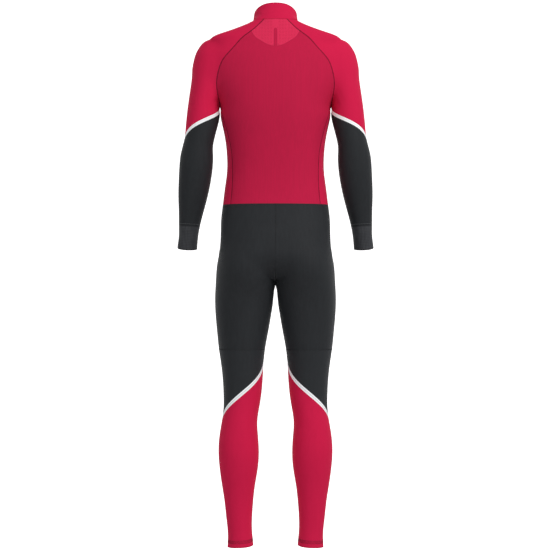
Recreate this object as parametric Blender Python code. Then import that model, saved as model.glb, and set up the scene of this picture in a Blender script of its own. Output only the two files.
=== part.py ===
"""One-piece stretch racing suit, worn by nobody: every panel is its own thin wall.

The suit keeps the shape of a standing figure.  Tables give that shape as level
sections, seams are drawn on it, and each piece is the patch between its seams.
Metres, +Z up, the zip faces -Y, the back faces +Y, the wearer's left is +X.
The origin is the middle of the neck at the height of the collar seam.
"""

import math

import bmesh
import bpy
import numpy as np
from mathutils import Matrix, Vector

COLLECTION = "racing_suit"
CUTTERS = "racing_suit_cutters"

# cloth
WALL = 0.0015            # thickness of one layer of stretch cloth
SEAM_GAP = 0.0003        # space left between two pieces at a seam
BAND_WALL = 0.0015       # the white strips between the colours
TAPE_WALL = 0.0012       # zip tape

# how many cells a piece has
HALF_COLS = 7            # half a back or a front, beside its narrow middle strip
SIDE_COLS = 4            # side panel, armpit and side of the waist
SLEEVE_COLS = 16         # raglan sleeve from its back seam to its front seam
RING_COLS = 20           # closed ring of an arm or a leg
YOKE_ROWS = (1, 2)       # above the slit, beside the slit
RAGLAN_ROWS = 11         # yoke corner to armpit
FLANK_ROWS = 9           # armpit to waist
COLLAR_ROWS = 2
ARMPIT_ROWS = 2          # armpit ring to upper edge of the sleeve strip
FOREARM_ROWS = 9
CUFF_ROWS = 3
SEAT_ROWS = 9            # waist to crotch ring
CROTCH_ROWS = 1
THIGH_ROWS = 4
KNEE_ROWS = 4
CALF_ROWS = 14

# the seams of the back are drawn as an eye sees them from behind
VIEW_DISTANCE = 4.2
VIEW_HEIGHT = -0.690

# trunk: level sections, half width across, middle in depth, half depth
TRUNK = (
    # height, half_width, middle_y, half_depth
    (0.010, 0.034, 0.036, 0.020),
    (-0.0070, 0.0580, 0.036, 0.027),
    (-0.0165, 0.0785, 0.036, 0.032),
    (-0.0275, 0.1070, 0.035, 0.037),
    (-0.0375, 0.1370, 0.033, 0.043),
    (-0.0475, 0.1610, 0.029, 0.051),
    (-0.0580, 0.1700, 0.023, 0.061),
    (-0.0730, 0.1800, 0.014, 0.076),
    (-0.090, 0.192, 0.008, 0.089),
    (-0.120, 0.196, 0.004, 0.101),
    (-0.151, 0.187, 0.001, 0.109),
    (-0.194, 0.167, -0.001, 0.113),
    (-0.238, 0.1488, -0.002, 0.113),
    (-0.259, 0.1482, -0.003, 0.112),
    (-0.281, 0.1445, -0.004, 0.110),
    (-0.324, 0.1357, -0.005, 0.103),
    (-0.367, 0.1312, -0.006, 0.097),
    (-0.410, 0.1312, -0.007, 0.0935),
    (-0.454, 0.1368, -0.006, 0.093),
    (-0.497, 0.1420, -0.003, 0.096),
    (-0.540, 0.1468, 0.002, 0.101),
    (-0.583, 0.1477, 0.008, 0.107),
    (-0.626, 0.1500, 0.012, 0.111),
    (-0.730, 0.1500, 0.012, 0.111),
)
TRUNK_TOP = 0.010
SEAT_ROUND = (-0.626, -0.704)     # the trunk rounds off to nothing between these
TRUNK_POWER = (2.05, 2.40)        # how square a section is, at the shoulders and below
TRUNK_POWER_FROM = (-0.10, -0.25)

# leg: level sections, inner and outer side, front and back
LEG = (
    # height, inner_x, outer_x, front_y, back_y
    (-0.560, 0.0000, 0.1280, -0.070, 0.085),
    (-0.605, 0.0000, 0.1430, -0.085, 0.108),
    (-0.648, 0.0000, 0.1550, -0.094, 0.122),
    (-0.691, 0.0010, 0.1600, -0.095, 0.118),
    (-0.713, 0.0018, 0.1613, -0.095, 0.108),
    (-0.734, 0.0038, 0.1627, -0.096, 0.098),
    (-0.756, 0.0060, 0.1634, -0.097, 0.090),
    (-0.799, 0.0125, 0.1618, -0.094, 0.080),
    (-0.842, 0.0200, 0.1580, -0.088, 0.073),
    (-0.886, 0.0280, 0.1534, -0.081, 0.067),
    (-0.929, 0.0325, 0.1472, -0.074, 0.060),
    (-0.972, 0.0350, 0.1426, -0.067, 0.054),
    (-1.015, 0.0390, 0.1404, -0.061, 0.051),
    (-1.045, 0.0438, 0.1404, -0.057, 0.052),
    (-1.080, 0.0490, 0.1445, -0.054, 0.058),
    (-1.123, 0.0473, 0.1512, -0.050, 0.066),
    (-1.166, 0.0450, 0.1535, -0.047, 0.068),
    (-1.210, 0.0480, 0.1503, -0.043, 0.062),
    (-1.253, 0.0551, 0.1445, -0.039, 0.052),
    (-1.296, 0.0602, 0.1380, -0.036, 0.044),
    (-1.339, 0.0632, 0.1333, -0.035, 0.040),
    (-1.382, 0.0632, 0.1290, -0.036, 0.038),
    (-1.404, 0.0610, 0.1287, -0.038, 0.039),
    (-1.428, 0.0590, 0.1302, -0.040, 0.041),
)
LEG_TOP = -0.560
LEG_POWER = 2.1

# arm: level sections, inner and outer side, middle in depth, half depth
ARM = (
    # height, inner_x, outer_x, middle_y, half_depth
    (-0.050, 0.1260, 0.2155, 0.002, 0.046),
    (-0.080, 0.1260, 0.2160, 0.002, 0.049),
    (-0.110, 0.1270, 0.2190, 0.002, 0.053),
    (-0.130, 0.1270, 0.2240, 0.003, 0.056),
    (-0.151, 0.1290, 0.2255, 0.004, 0.058),
    (-0.194, 0.1380, 0.2305, 0.007, 0.057),
    (-0.238, 0.1509, 0.2365, 0.010, 0.054),
    (-0.259, 0.1504, 0.2388, 0.012, 0.0525),
    (-0.281, 0.1540, 0.2410, 0.013, 0.051),
    (-0.324, 0.1650, 0.2455, 0.015, 0.047),
    (-0.346, 0.1685, 0.2510, 0.014, 0.046),
    (-0.367, 0.1682, 0.2560, 0.011, 0.047),
    (-0.389, 0.1688, 0.2587, 0.007, 0.0475),
    (-0.432, 0.1744, 0.2615, -0.002, 0.045),
    (-0.475, 0.1836, 0.2632, -0.012, 0.040),
    (-0.518, 0.1955, 0.2625, -0.022, 0.034),
    (-0.562, 0.2070, 0.2628, -0.032, 0.0295),
    (-0.583, 0.2107, 0.2634, -0.037, 0.0280),
    (-0.605, 0.2132, 0.2666, -0.042, 0.0275),
    (-0.630, 0.2150, 0.2690, -0.048, 0.0275),
)
ARM_CAP = (-0.116, -0.056)        # the arm rounds off to nothing between these
ARM_POWER = 2.05

# neck: a leaning round post
NECK_LOW = (0.0, 0.001, -0.036)
NECK_HIGH = (0.0, -0.0095, 0.007)
NECK_LOW_HALF = (0.0635, 0.0625)  # half across, half in depth
NECK_HIGH_HALF = (0.0590, 0.0590)
NECK_POWER = 2.1
NECK_REACH = (-0.060, 0.090)

# how widely two forms run into each other
NECK_BLEND = 0.016
THIGHS_BLEND = 0.004
HIP_BLEND = (0.006, 0.020)        # outer side, near the middle
HIP_BLEND_X = (0.030, 0.110)
ARM_BLEND = (0.0035, 0.022)       # armpit, shoulder
ARM_BLEND_Z = (-0.235, -0.135)

# edges of the collar by the angle round the neck, from the back to the front
COLLAR_SEAM = (
    # angle, height
    (0, -0.007), (45, -0.0055), (90, -0.002), (120, -0.018), (150, -0.042), (180, -0.052),
)
COLLAR_TOP = (
    # angle, height
    (0, 0.0404), (45, 0.0358), (90, 0.0172), (135, -0.002), (180, -0.013),
)
COLLAR_MIDDLE_Y = -0.003
BACK_RAGLAN_ANGLE = 26
FRONT_RAGLAN_ANGLE = 148

# seams on the back as seen from behind: across, height
YOKE_CORNER = (0.0656, -0.0286)
YOKE_EDGE = ((0.0562, -0.0432), (0.0356, -0.0575), (0.0160, -0.0670))
YOKE_LOW = -0.0697
BACK_RAGLAN = (
    (0.0926, -0.0494), (0.1202, -0.0802), (0.1445, -0.1107),
    (0.1544, -0.1388), (0.1590, -0.1690), (0.1577, -0.1890), (0.1540, -0.2093),
)
BACK_ARMPIT = (0.1506, -0.2260)
BACK_FLANK = (
    (0.1407, -0.2662), (0.1288, -0.3078), (0.1185, -0.3580), (0.1161, -0.4007), (0.1161, -0.4347),
)
BACK_HIP = (0.1212, -0.4955)

# seams on the front, square on: across, height
FRONT_RAGLAN = (
    (0.0620, -0.0640), (0.0900, -0.0880), (0.1160, -0.1130), (0.1380, -0.1400),
    (0.1530, -0.1680), (0.1590, -0.1920), (0.1558, -0.2130),
)
FRONT_ARMPIT = (0.1520, -0.2270)
FRONT_FLANK = (
    (0.1407, -0.2662), (0.1288, -0.3078), (0.1185, -0.3580), (0.1161, -0.4007), (0.1161, -0.4347),
)
FRONT_HIP = (0.1200, -0.4995)

ARMPIT = (0.1496, 0.004)          # x and y of the highest point under the arm
ARMPIT_BELOW = -0.29              # a height between arm and side, clear of both
WAIST = -0.4997
SLIT_HALF = 0.0039                # strip of the back panel that stands in the yoke
SLIT_TOP = -0.0213
SLIT_ROUND = 0.55                 # its upper end is this much narrower
ZIP_HALF = 0.008                  # half the width of the zip that shows

# edges round the arm and the leg: height at the inner side, at the outer side, and how much
# lower the edge hangs at the back than halfway, and higher at the front
ARMPIT_RING = (-0.2270, -0.2520, 0)
SLEEVE_STRIP_TOP = (-0.2400, -0.3235, 0)
SLEEVE_STRIP_LOW = (-0.2502, -0.3342, 0)
CUFF_TOP = (-0.5585, -0.5530, 0)
CUFF_END = (-0.6190, -0.6140, 0.0049)
CROTCH_OUTER = -0.745
THIGH_START = (-0.765, -0.775, 0)
KNEE_TOP = (-0.8885, -0.8885, 0)
LEG_STRIP_TOP = (-0.9160, -1.0730, 0)
LEG_STRIP_LOW = (-0.9295, -1.0850, 0)
ANKLE_END = (-1.4165, -1.4225, 0)
SLANT_BOW = {"arm": -0.08, "leg": 0.025}   # over 0 where an edge falls faster near the inner side
SLANT_CORNER = 0.06               # share of half the way round in which a slanting edge turns back
SHOULDER_HEIGHTS = (-0.012, -0.052)        # the shoulder line passes the trunk between these
SLEEVE_LINE_TOP = -0.075          # and runs down the sleeve from here
LINE_MARGIN = 0.03                # a guide point keeps this far from the end of its line
LINE_GUIDES = 6
CROTCH_DROP = 0.002               # the crotch ring lies this far below the end of the seat seam
SEAT_CENTRE = (0.010, -0.620)     # y and z that the seat seam is measured from
RING_BREAK = 2                    # ring cells on each side of the armpit

# zip
CHAIN_HALF = 0.0026
CHAIN_SHOULDER = 0.0031
CHAIN_RISE = 0.0015
SLIDER_FROM_TOP = 0.0085          # middle of the slider, down from the collar's edge
SLIDER = {"half_width": 0.0045, "half_length": 0.0060, "under": 0.0019, "over": 0.0037}
SLIDER_LIP = {"inner": 0.0034, "under": 0.0006}
BRIDGE = {"half_width": 0.0010, "half_length": 0.0035, "over": 0.0072}
EYE = {"half_length": 0.0023, "over": 0.0060}
PIVOT_OVER = 0.00485              # hinge line above the form's surface
TAB = {"half_width": 0.0030, "length": 0.0225, "thick": 0.0012, "bar": 0.0012}
TAB_WINDOW = {"half_width": 0.0017, "length": 0.0046}
TAB_ROUND = 0.0018
TAB_ROUND_STEPS = 4
CUT_OVERLAP = 0.002

MATERIALS = {
    # name: colour, roughness
    "red_cloth": ((0.62, 0.018, 0.075, 1.0), 0.62),
    "yoke_cloth": ((0.68, 0.045, 0.110, 1.0), 0.66),
    "black_cloth": ((0.026, 0.028, 0.030, 1.0), 0.60),
    "cuff_knit": ((0.045, 0.045, 0.050, 1.0), 0.75),
    "white_strip": ((0.80, 0.83, 0.86, 1.0), 0.55),
    "zip_tape": ((0.020, 0.020, 0.022, 1.0), 0.65),
    "zip_metal": ((0.030, 0.030, 0.032, 1.0), 0.35),
}

# how finely lines are found on the form, and how far a search goes
DENSE = 240                       # points on a seam before it is shared out
CAST_STEPS = 90
HALVINGS = 30
SETTLE_STEPS = 14
SLOPE_STEP = 0.0002
WELD = 1e-6
SHARP_LIMIT = 0.35                # keeps the gap short at a pointed corner
LIMB_REACH = 0.13                 # more than half the width of the neck, an arm or a leg
BODY_REACH = 0.20                 # more than half the width of the body
VIEW_REACH = 0.36
SEAT_REACH = 0.25
ARMPIT_REACH = 0.08
INSIDE_ARM = 0.10                 # x of a place inside the sleeve and the shoulder
INSIDE_BODY = 0.02                # x of a place inside the trunk
NECK_SHARES = (-1.2, 1.4)         # how far the neck keeps narrowing beyond its two sections
DOME_LIMIT = 0.9999
SLOPE_FLOOR = 0.05
SETTLE_LIMIT = 0.01               # longest move in one settling step


def natural_spline(rows):
    """Function giving smooth values of the last columns by the first."""
    table = np.array(sorted(rows), float)
    knots, values = table[:, 0], table[:, 1:]
    gaps = np.diff(knots)
    system = np.eye(len(knots))
    right = np.zeros_like(values)
    for i in range(1, len(knots) - 1):
        system[i, i - 1:i + 2] = gaps[i - 1], 2 * (gaps[i - 1] + gaps[i]), gaps[i]
        slope_after = (values[i + 1] - values[i]) / gaps[i]
        slope_before = (values[i] - values[i - 1]) / gaps[i - 1]
        right[i] = 6 * (slope_after - slope_before)
    bends = np.linalg.solve(system, right)

    def at(where):
        where = np.clip(where, knots[0], knots[-1])
        i = np.clip(np.searchsorted(knots, where) - 1, 0, len(gaps) - 1)
        gap = gaps[i]
        after = (where - knots[i]) / gap
        before = 1 - after
        bow_before = (before**3 - before) * gap * gap / 6
        bow_after = (after**3 - after) * gap * gap / 6
        total = before[..., None] * values[i] + after[..., None] * values[i + 1]
        total = total + bow_before[..., None] * bends[i] + bow_after[..., None] * bends[i + 1]
        return np.moveaxis(total, -1, 0)

    return at


trunk_at = natural_spline(TRUNK)
leg_at = natural_spline(LEG)
arm_at = natural_spline(ARM)
collar_seam_at = natural_spline(COLLAR_SEAM)
collar_top_at = natural_spline(COLLAR_TOP)


def ease(value, start, end):
    """0 at start, 1 at end, smooth between."""
    t = np.clip((value - start) / (end - start), 0, 1)
    return t * t * (3 - 2 * t)


def oval(x, y, half_x, half_y, power):
    """Rough distance from an oval: below 0 inside."""
    ratio = (np.abs(x / half_x)**power + np.abs(y / half_y)**power)**(1 / power)
    return (ratio - 1) * np.minimum(half_x, half_y)


def run_together(a, b, width):
    """Union of two forms with a soft hollow where they meet."""
    share = np.maximum(width - np.abs(a - b), 0) / width
    return np.minimum(a, b) - share * share * width / 4


def dome(z, start, end):
    """1 at start, falling to 0 at end like the side of a ball."""
    t = np.clip((z - start) / (end - start), 0, DOME_LIMIT)
    return np.sqrt(1 - t * t)


def trunk_form(x, y, z):
    half_width, middle, half_depth = trunk_at(z)
    seat = dome(z, *SEAT_ROUND)
    power = TRUNK_POWER[0] + (TRUNK_POWER[1] - TRUNK_POWER[0]) * ease(z, *TRUNK_POWER_FROM)
    value = oval(x, y - middle * seat, half_width * seat, half_depth * seat, power)
    return np.maximum(np.maximum(value, z - TRUNK_TOP), SEAT_ROUND[1] - z)


def neck_form(x, y, z):
    low, high = np.array(NECK_LOW), np.array(NECK_HIGH)
    length = np.linalg.norm(high - low)
    lean = (high - low) / length
    along = (y - low[1]) * lean[1] + (z - low[2]) * lean[2]
    across = (y - low[1]) * lean[2] - (z - low[2]) * lean[1]
    share = np.clip(along / length, *NECK_SHARES)
    half_x = NECK_LOW_HALF[0] + (NECK_HIGH_HALF[0] - NECK_LOW_HALF[0]) * share
    half_y = NECK_LOW_HALF[1] + (NECK_HIGH_HALF[1] - NECK_LOW_HALF[1]) * share
    value = oval(x, across, half_x, half_y, NECK_POWER)
    return np.maximum(np.maximum(value, along - NECK_REACH[1]), NECK_REACH[0] - along)


def leg_form(x, y, z):
    inner, outer, front, back = leg_at(z)
    value = oval(x - (inner + outer) / 2, y - (front + back) / 2,
                 (outer - inner) / 2, (back - front) / 2, LEG_POWER)
    return np.maximum(value, z - LEG_TOP)


def arm_form(x, y, z):
    inner, outer, middle, half_depth = arm_at(z)
    cap = dome(z, *ARM_CAP)
    half_width = (outer - inner) / 2
    value = oval(x - (inner + outer) / 2, y - middle, half_width * cap, half_depth * cap, ARM_POWER)
    return np.maximum(value, z - ARM_CAP[1])


def form(points):
    """The figure that the suit is stretched over: below 0 inside."""
    x, y, z = np.abs(points[..., 0]), points[..., 1], points[..., 2]
    body = run_together(trunk_form(x, y, z), neck_form(x, y, z), NECK_BLEND)
    legs = run_together(leg_form(x, y, z), leg_form(-x, y, z), THIGHS_BLEND)
    hip = HIP_BLEND[1] + (HIP_BLEND[0] - HIP_BLEND[1]) * ease(x, *HIP_BLEND_X)
    body = run_together(body, legs, hip)
    pit = ARM_BLEND[0] + (ARM_BLEND[1] - ARM_BLEND[0]) * ease(z, *ARM_BLEND_Z)
    return run_together(body, arm_form(x, y, z), pit)


def slope(points):
    """Which way the form grows, and how fast."""
    parts = []
    for axis in range(3):
        step = np.zeros(3)
        step[axis] = SLOPE_STEP
        parts.append((form(points + step) - form(points - step)) / (2 * SLOPE_STEP))
    return np.stack(parts, -1)


def outward(points):
    """Unit direction away from the form at points on it."""
    direction = slope(points)
    return direction / np.linalg.norm(direction, axis=-1, keepdims=True)


def settle(points):
    """Move points the short way onto the form."""
    for _ in range(SETTLE_STEPS):
        direction = slope(points)
        size = np.maximum((direction**2).sum(-1, keepdims=True), SLOPE_FLOOR)
        move = form(points)[..., None] * direction / size
        points = points - np.clip(move, -SETTLE_LIMIT, SETTLE_LIMIT)
    return points


def cast(starts, directions, reach):
    """First place where a ray crosses the form."""
    starts, directions = np.asarray(starts, float), np.asarray(directions, float)
    starts, directions = np.broadcast_arrays(starts, directions)
    flat_start, flat_way = starts.reshape(-1, 3), directions.reshape(-1, 3)
    flat_way = flat_way / np.linalg.norm(flat_way, axis=1, keepdims=True)
    steps = np.linspace(0, reach, CAST_STEPS + 1)
    values = form(flat_start[:, None] + flat_way[:, None] * steps[None, :, None])
    crossed = np.sign(values[:, 1:]) != np.sign(values[:, :-1])
    first = crossed.argmax(axis=1)
    near, far = steps[first], steps[first + 1]
    side = np.sign(values[np.arange(len(first)), first])
    for _ in range(HALVINGS):
        middle = (near + far) / 2
        same = np.sign(form(flat_start + flat_way * middle[:, None])) == side
        near, far = np.where(same, middle, near), np.where(same, far, middle)
    return (flat_start + flat_way * far[:, None]).reshape(starts.shape)


def seen_from_behind(across, height):
    """Point of the back that shows at this place in the view."""
    eye = np.array((0.0, VIEW_DISTANCE, VIEW_HEIGHT))
    way = np.array((across, 0.0, height)) - eye
    way = way / np.linalg.norm(way)
    start = eye + way * (VIEW_DISTANCE - BODY_REACH)
    return cast(start, way, VIEW_REACH)


def seen_from_front(across, height):
    """Point of the front that lies at this place, square on."""
    return cast((across, -BODY_REACH, height), (0, 1, 0), VIEW_REACH)


def even(line, cells):
    """The same line as evenly spaced points."""
    steps = np.linalg.norm(np.diff(line, axis=0), axis=1)
    run = np.concatenate(([0], np.cumsum(steps)))
    wanted = np.linspace(0, run[-1], cells + 1)
    points = np.stack([np.interp(wanted, run, line[:, axis]) for axis in range(3)], -1)
    points[1:-1] = settle(points[1:-1])
    return points


def seam(guides):
    """Smooth line on the form through guide points."""
    guides = np.array(guides)
    steps = np.linalg.norm(np.diff(guides, axis=0), axis=1)
    run = np.concatenate(([0], np.cumsum(steps)))
    at = natural_spline(np.column_stack((run, guides)).tolist())
    line = settle(np.moveaxis(at(np.linspace(0, run[-1], DENSE)), 0, -1))
    line[0], line[-1] = guides[0], guides[-1]
    return line


def part_of(line, start, end, cells):
    """Evenly spaced points on a line from one place on it to another."""
    first = np.linalg.norm(line - start, axis=1).argmin()
    last = np.linalg.norm(line - end, axis=1).argmin()
    points = even(np.vstack((start, line[first + 1:last], end)), cells)
    points[0], points[-1] = start, end
    return points


def patch(top, bottom, left, right):
    """Grid of points on the form between four edges that meet at their ends."""
    v = np.linspace(0, 1, len(left))[:, None, None]
    u = np.linspace(0, 1, len(top))[None, :, None]
    across = (1 - v) * top[None] + v * bottom[None]
    down = (1 - u) * left[:, None] + u * right[:, None]
    ends = (1 - v) * ((1 - u) * top[0] + u * top[-1]) + v * ((1 - u) * bottom[0] + u * bottom[-1])
    grid = across + down - ends
    grid[1:-1, 1:-1] = settle(grid[1:-1, 1:-1])
    return grid


def slant(limb, edge, turn):
    """Height of an edge by the turn from the inner side over the back."""
    inner, outer, back_drop = edge
    share = np.where(turn > math.pi, 2 * math.pi - turn, turn) / math.pi
    from_inner = np.minimum(share, SLANT_CORNER)
    from_outer = np.minimum(1 - share, SLANT_CORNER)
    share = share + ((SLANT_CORNER - from_inner)**2 - (SLANT_CORNER - from_outer)**2) / (2 * SLANT_CORNER)
    share = share + SLANT_BOW[limb] * np.abs(np.sin(turn))
    return inner + (outer - inner) * share - back_drop * np.sin(turn)


def ring(limb, edge):
    """Closed line round a limb from its inner side over the back."""
    turn = np.linspace(0, 2 * math.pi, RING_COLS + 1)
    line = limb_points(limb, turn, slant(limb, edge, turn))
    line[-1] = line[0]
    return line


def limb_points(limb, turn, height):
    """Points on an arm or a leg by the turn from its inner side and by height."""
    if limb == "leg":
        inner, outer, front, back = leg_at(height)
        middle_x, middle_y = (inner + outer) / 2, (front + back) / 2
    else:
        inner, outer, middle_y, _ = arm_at(height)
        middle_x = (inner + outer) / 2
    starts = np.stack((middle_x, middle_y, height), -1)
    ways = np.stack((-np.cos(turn), np.sin(turn), np.zeros_like(turn)), -1)
    return cast(starts, ways, LIMB_REACH)


def sleeve_tube(limb, top, bottom, rows):
    """Grid round a limb between two slanting edges."""
    turn = np.linspace(0, 2 * math.pi, RING_COLS + 1)
    share = np.linspace(0, 1, rows + 1)[:, None]
    height = slant(limb, top, turn)[None] * (1 - share) + slant(limb, bottom, turn)[None] * share
    grid = limb_points(limb, np.broadcast_to(turn, height.shape), height)
    grid[:, -1] = grid[:, 0]
    return grid


def neck_line(height_at, start, end, cells=DENSE):
    """Line round the neck between two angles from the back."""
    angle = np.linspace(start, end, cells + 1)
    height = height_at(angle)[0]
    turn = np.radians(angle)
    starts = np.stack((np.zeros_like(turn), np.full_like(turn, COLLAR_MIDDLE_Y), height), -1)
    ways = np.stack((np.sin(turn), np.cos(turn), np.zeros_like(turn)), -1)
    return cast(starts, ways, LIMB_REACH)


def level_line(height, across, toward):
    """Points at one height in front (-1) or at the back (+1) at given places across."""
    across = np.asarray(across, float)
    starts = np.stack((across, np.zeros_like(across), np.full_like(across, height)), -1)
    return cast(starts, (0, toward, 0), BODY_REACH)


def upright_line(x, top, bottom, toward):
    """Line down the front or the back at one place across, from one point to another."""
    heights = np.linspace(top[2], bottom[2], DENSE)
    starts = np.stack((np.full(DENSE, x), np.zeros(DENSE), heights), -1)
    line = cast(starts, (0, toward, 0), BODY_REACH)
    line[0], line[-1] = top, bottom
    return line


def on_neck(height_at, half, toward):
    """Point of a collar edge at a place across, at the back or the front."""
    line = neck_line(height_at, 0, 90) if toward > 0 else neck_line(height_at, 180, 90)
    first = np.abs(line[:, 0] - half).argmin()
    point = line[first].copy()
    point[0] = half
    return settle(point)


def seat_line(toward):
    """Seat seam from the waist to the crotch in the middle plane."""
    middle_y, middle_z = SEAT_CENTRE
    heights = np.linspace(WAIST, middle_z, DENSE)[:-1]
    starts = np.stack((np.zeros_like(heights), np.full_like(heights, middle_y), heights), -1)
    upper = cast(starts, (0, toward, 0), BODY_REACH)
    turn = np.linspace(0, math.pi / 2, DENSE)
    ways = np.stack((np.zeros_like(turn), toward * np.cos(turn), -np.sin(turn)), -1)
    lower = cast((0, middle_y, middle_z), ways, SEAT_REACH)
    return np.vstack((upper, lower))


def drawn_behind(rows):
    """Guide points on the back for a table of places across and heights."""
    return [seen_from_behind(*row) for row in rows]


def drawn_in_front(rows):
    """Guide points on the front for a table of places across and heights."""
    return [seen_from_front(*row) for row in rows]


def make_corners():
    """Named points where three seams meet."""
    back_hip_x = seen_from_behind(*BACK_HIP)[0]
    front_hip_x = seen_from_front(*FRONT_HIP)[0]
    waist_middle, waist_slit = level_line(WAIST, [0, SLIT_HALF], 1)
    waist_zip, waist_front = level_line(WAIST, [ZIP_HALF, 0], -1)
    return {
        "middle_back": neck_line(collar_seam_at, 0, 10)[0],
        "slit_back": on_neck(collar_seam_at, SLIT_HALF, 1),
        "back_top": neck_line(collar_seam_at, BACK_RAGLAN_ANGLE, 90)[0],
        "front_top": neck_line(collar_seam_at, FRONT_RAGLAN_ANGLE, 90)[0],
        "zip_front": on_neck(collar_seam_at, ZIP_HALF, -1),
        "middle_front": neck_line(collar_seam_at, 170, 180)[-1],
        "yoke_corner": seen_from_behind(*YOKE_CORNER),
        "back_pit": seen_from_behind(*BACK_ARMPIT),
        "front_pit": seen_from_front(*FRONT_ARMPIT),
        "pit": cast((*ARMPIT, ARMPIT_BELOW), (0, 0, 1), ARMPIT_REACH),
        "back_hip": level_line(WAIST, [back_hip_x], 1)[0],
        "front_hip": level_line(WAIST, [front_hip_x], -1)[0],
        "waist_middle": waist_middle,
        "waist_slit": waist_slit,
        "waist_zip": waist_zip,
        "waist_front": waist_front,
    }


def neck_seams(c):
    """Collar seam, from the middle of the back to the zip."""
    around = neck_line(collar_seam_at, 0, 180, 3 * DENSE)
    return {
        "neck_strip": np.array((c["middle_back"], c["slit_back"])),
        "neck_back": part_of(around, c["slit_back"], c["back_top"], HALF_COLS),
        "neck_side": part_of(around, c["back_top"], c["front_top"], SLEEVE_COLS),
        "neck_front": part_of(around, c["front_top"], c["zip_front"], HALF_COLS),
        "neck_zip": np.array((c["zip_front"], c["middle_front"])),
    }


def raglan_seams(c):
    """Seams between the sleeve and the body, from the collar to the armpit."""
    back = seam([c["back_top"], c["yoke_corner"], *drawn_behind(BACK_RAGLAN), c["back_pit"]])
    front = seam([c["front_top"], *drawn_in_front(FRONT_RAGLAN), c["front_pit"]])
    return {
        "raglan_yoke": part_of(back, c["back_top"], c["yoke_corner"], sum(YOKE_ROWS)),
        "raglan_back": part_of(back, c["yoke_corner"], c["back_pit"], RAGLAN_ROWS),
        "raglan_front": even(front, sum(YOKE_ROWS) + RAGLAN_ROWS),
    }


def side_seams(c):
    """Edges of the side panel above the waist."""
    back = seam([c["back_pit"], *drawn_behind(BACK_FLANK), c["back_hip"]])
    front = seam([c["front_pit"], *drawn_in_front(FRONT_FLANK), c["front_hip"]])
    return {
        "flank_back": even(back, FLANK_ROWS),
        "flank_front": even(front, FLANK_ROWS),
        "pit_back": even(seam([c["back_pit"], c["pit"]]), SIDE_COLS // 2),
        "pit_front": even(seam([c["pit"], c["front_pit"]]), SIDE_COLS // 2),
    }


def yoke_seams(c):
    """Lower edge of the yoke, and the slit that the back panel stands in."""
    rows = RAGLAN_ROWS + FLANK_ROWS
    low_middle = seen_from_behind(0, YOKE_LOW)
    low_slit = seen_from_behind(SLIT_HALF, YOKE_LOW)
    low_slit = settle(np.array((SLIT_HALF, low_slit[1], low_slit[2])))
    slit_middle = seen_from_behind(0, SLIT_TOP)
    slit_side = level_line(slit_middle[2], [SLIT_HALF], 1)[0]
    slit_line = upright_line(SLIT_HALF, c["slit_back"], low_slit, 1)
    middle_line = upright_line(0, c["middle_back"], low_middle, 1)
    return {
        "yoke_edge": even(seam([low_slit, *drawn_behind(YOKE_EDGE[::-1]), c["yoke_corner"]]), HALF_COLS),
        "slit_over": part_of(slit_line, c["slit_back"], slit_side, YOKE_ROWS[0]),
        "slit_beside": part_of(slit_line, slit_side, low_slit, YOKE_ROWS[1]),
        "slit_low": even(upright_line(SLIT_HALF, low_slit, c["waist_slit"], 1), rows),
        "middle_over": part_of(middle_line, c["middle_back"], slit_middle, YOKE_ROWS[0]),
        "middle_beside": part_of(middle_line, slit_middle, low_middle, YOKE_ROWS[1]),
        "middle_low": even(upright_line(0, low_middle, c["waist_middle"], 1), rows),
    }


def waist_seams(c):
    """Waist seam, from the middle of the back to the middle of the front."""
    back = level_line(WAIST, np.linspace(SLIT_HALF, c["back_hip"][0], HALF_COLS + 1), 1)
    front = level_line(WAIST, np.linspace(c["front_hip"][0], ZIP_HALF, HALF_COLS + 1), -1)
    first = math.atan2(c["back_hip"][1], c["back_hip"][0])
    last = math.atan2(c["front_hip"][1], c["front_hip"][0])
    turn = np.linspace(first, last, SIDE_COLS + 1)
    side = cast((0, 0, WAIST), np.stack((np.cos(turn), np.sin(turn), np.zeros_like(turn)), -1), BODY_REACH)
    back[0], back[-1] = c["waist_slit"], c["back_hip"]
    side[0], side[-1] = c["back_hip"], c["front_hip"]
    front[0], front[-1] = c["front_hip"], c["waist_zip"]
    return {
        "waist_strip": np.array((c["waist_middle"], c["waist_slit"])),
        "waist_back": back,
        "waist_side": side,
        "waist_front": front,
        "waist_zip": np.array((c["waist_zip"], c["waist_front"])),
    }


def zip_seams(c):
    """Edge and middle of the zip, from the collar seam to the waist."""
    rows = sum(YOKE_ROWS) + RAGLAN_ROWS + FLANK_ROWS
    return {
        "zip_side": even(upright_line(ZIP_HALF, c["zip_front"], c["waist_zip"], -1), rows),
        "zip_middle": even(upright_line(0, c["middle_front"], c["waist_front"], -1), rows),
    }


def sleeve_lines(c, s):
    """Ring below the armpit, open under the arm, and the line down the top of the sleeve."""
    turn = np.linspace(0, 2 * math.pi, RING_COLS + 1)[RING_BREAK:-RING_BREAK]
    pit_ring = limb_points("arm", turn, slant("arm", ARMPIT_RING, turn))
    pit_ring[0], pit_ring[-1] = c["back_pit"], c["front_pit"]
    half = SLEEVE_COLS // 2
    guides = [s["neck_side"][half]]
    for height in np.linspace(*SHOULDER_HEIGHTS, LINE_GUIDES):
        start = (INSIDE_BODY, trunk_at(height)[1], height)
        guides.append(cast(start, (1, 0, 0), SEAT_REACH))
    for height in np.linspace(SLEEVE_LINE_TOP, ARMPIT_RING[1] + LINE_MARGIN, LINE_GUIDES):
        guides.append(cast((INSIDE_ARM, 0.0, height), (1, 0, 0), BODY_REACH))
    guides.append(pit_ring[half])
    return {"pit_ring": pit_ring, "shoulder": even(seam(guides), sum(YOKE_ROWS) + RAGLAN_ROWS)}


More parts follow.
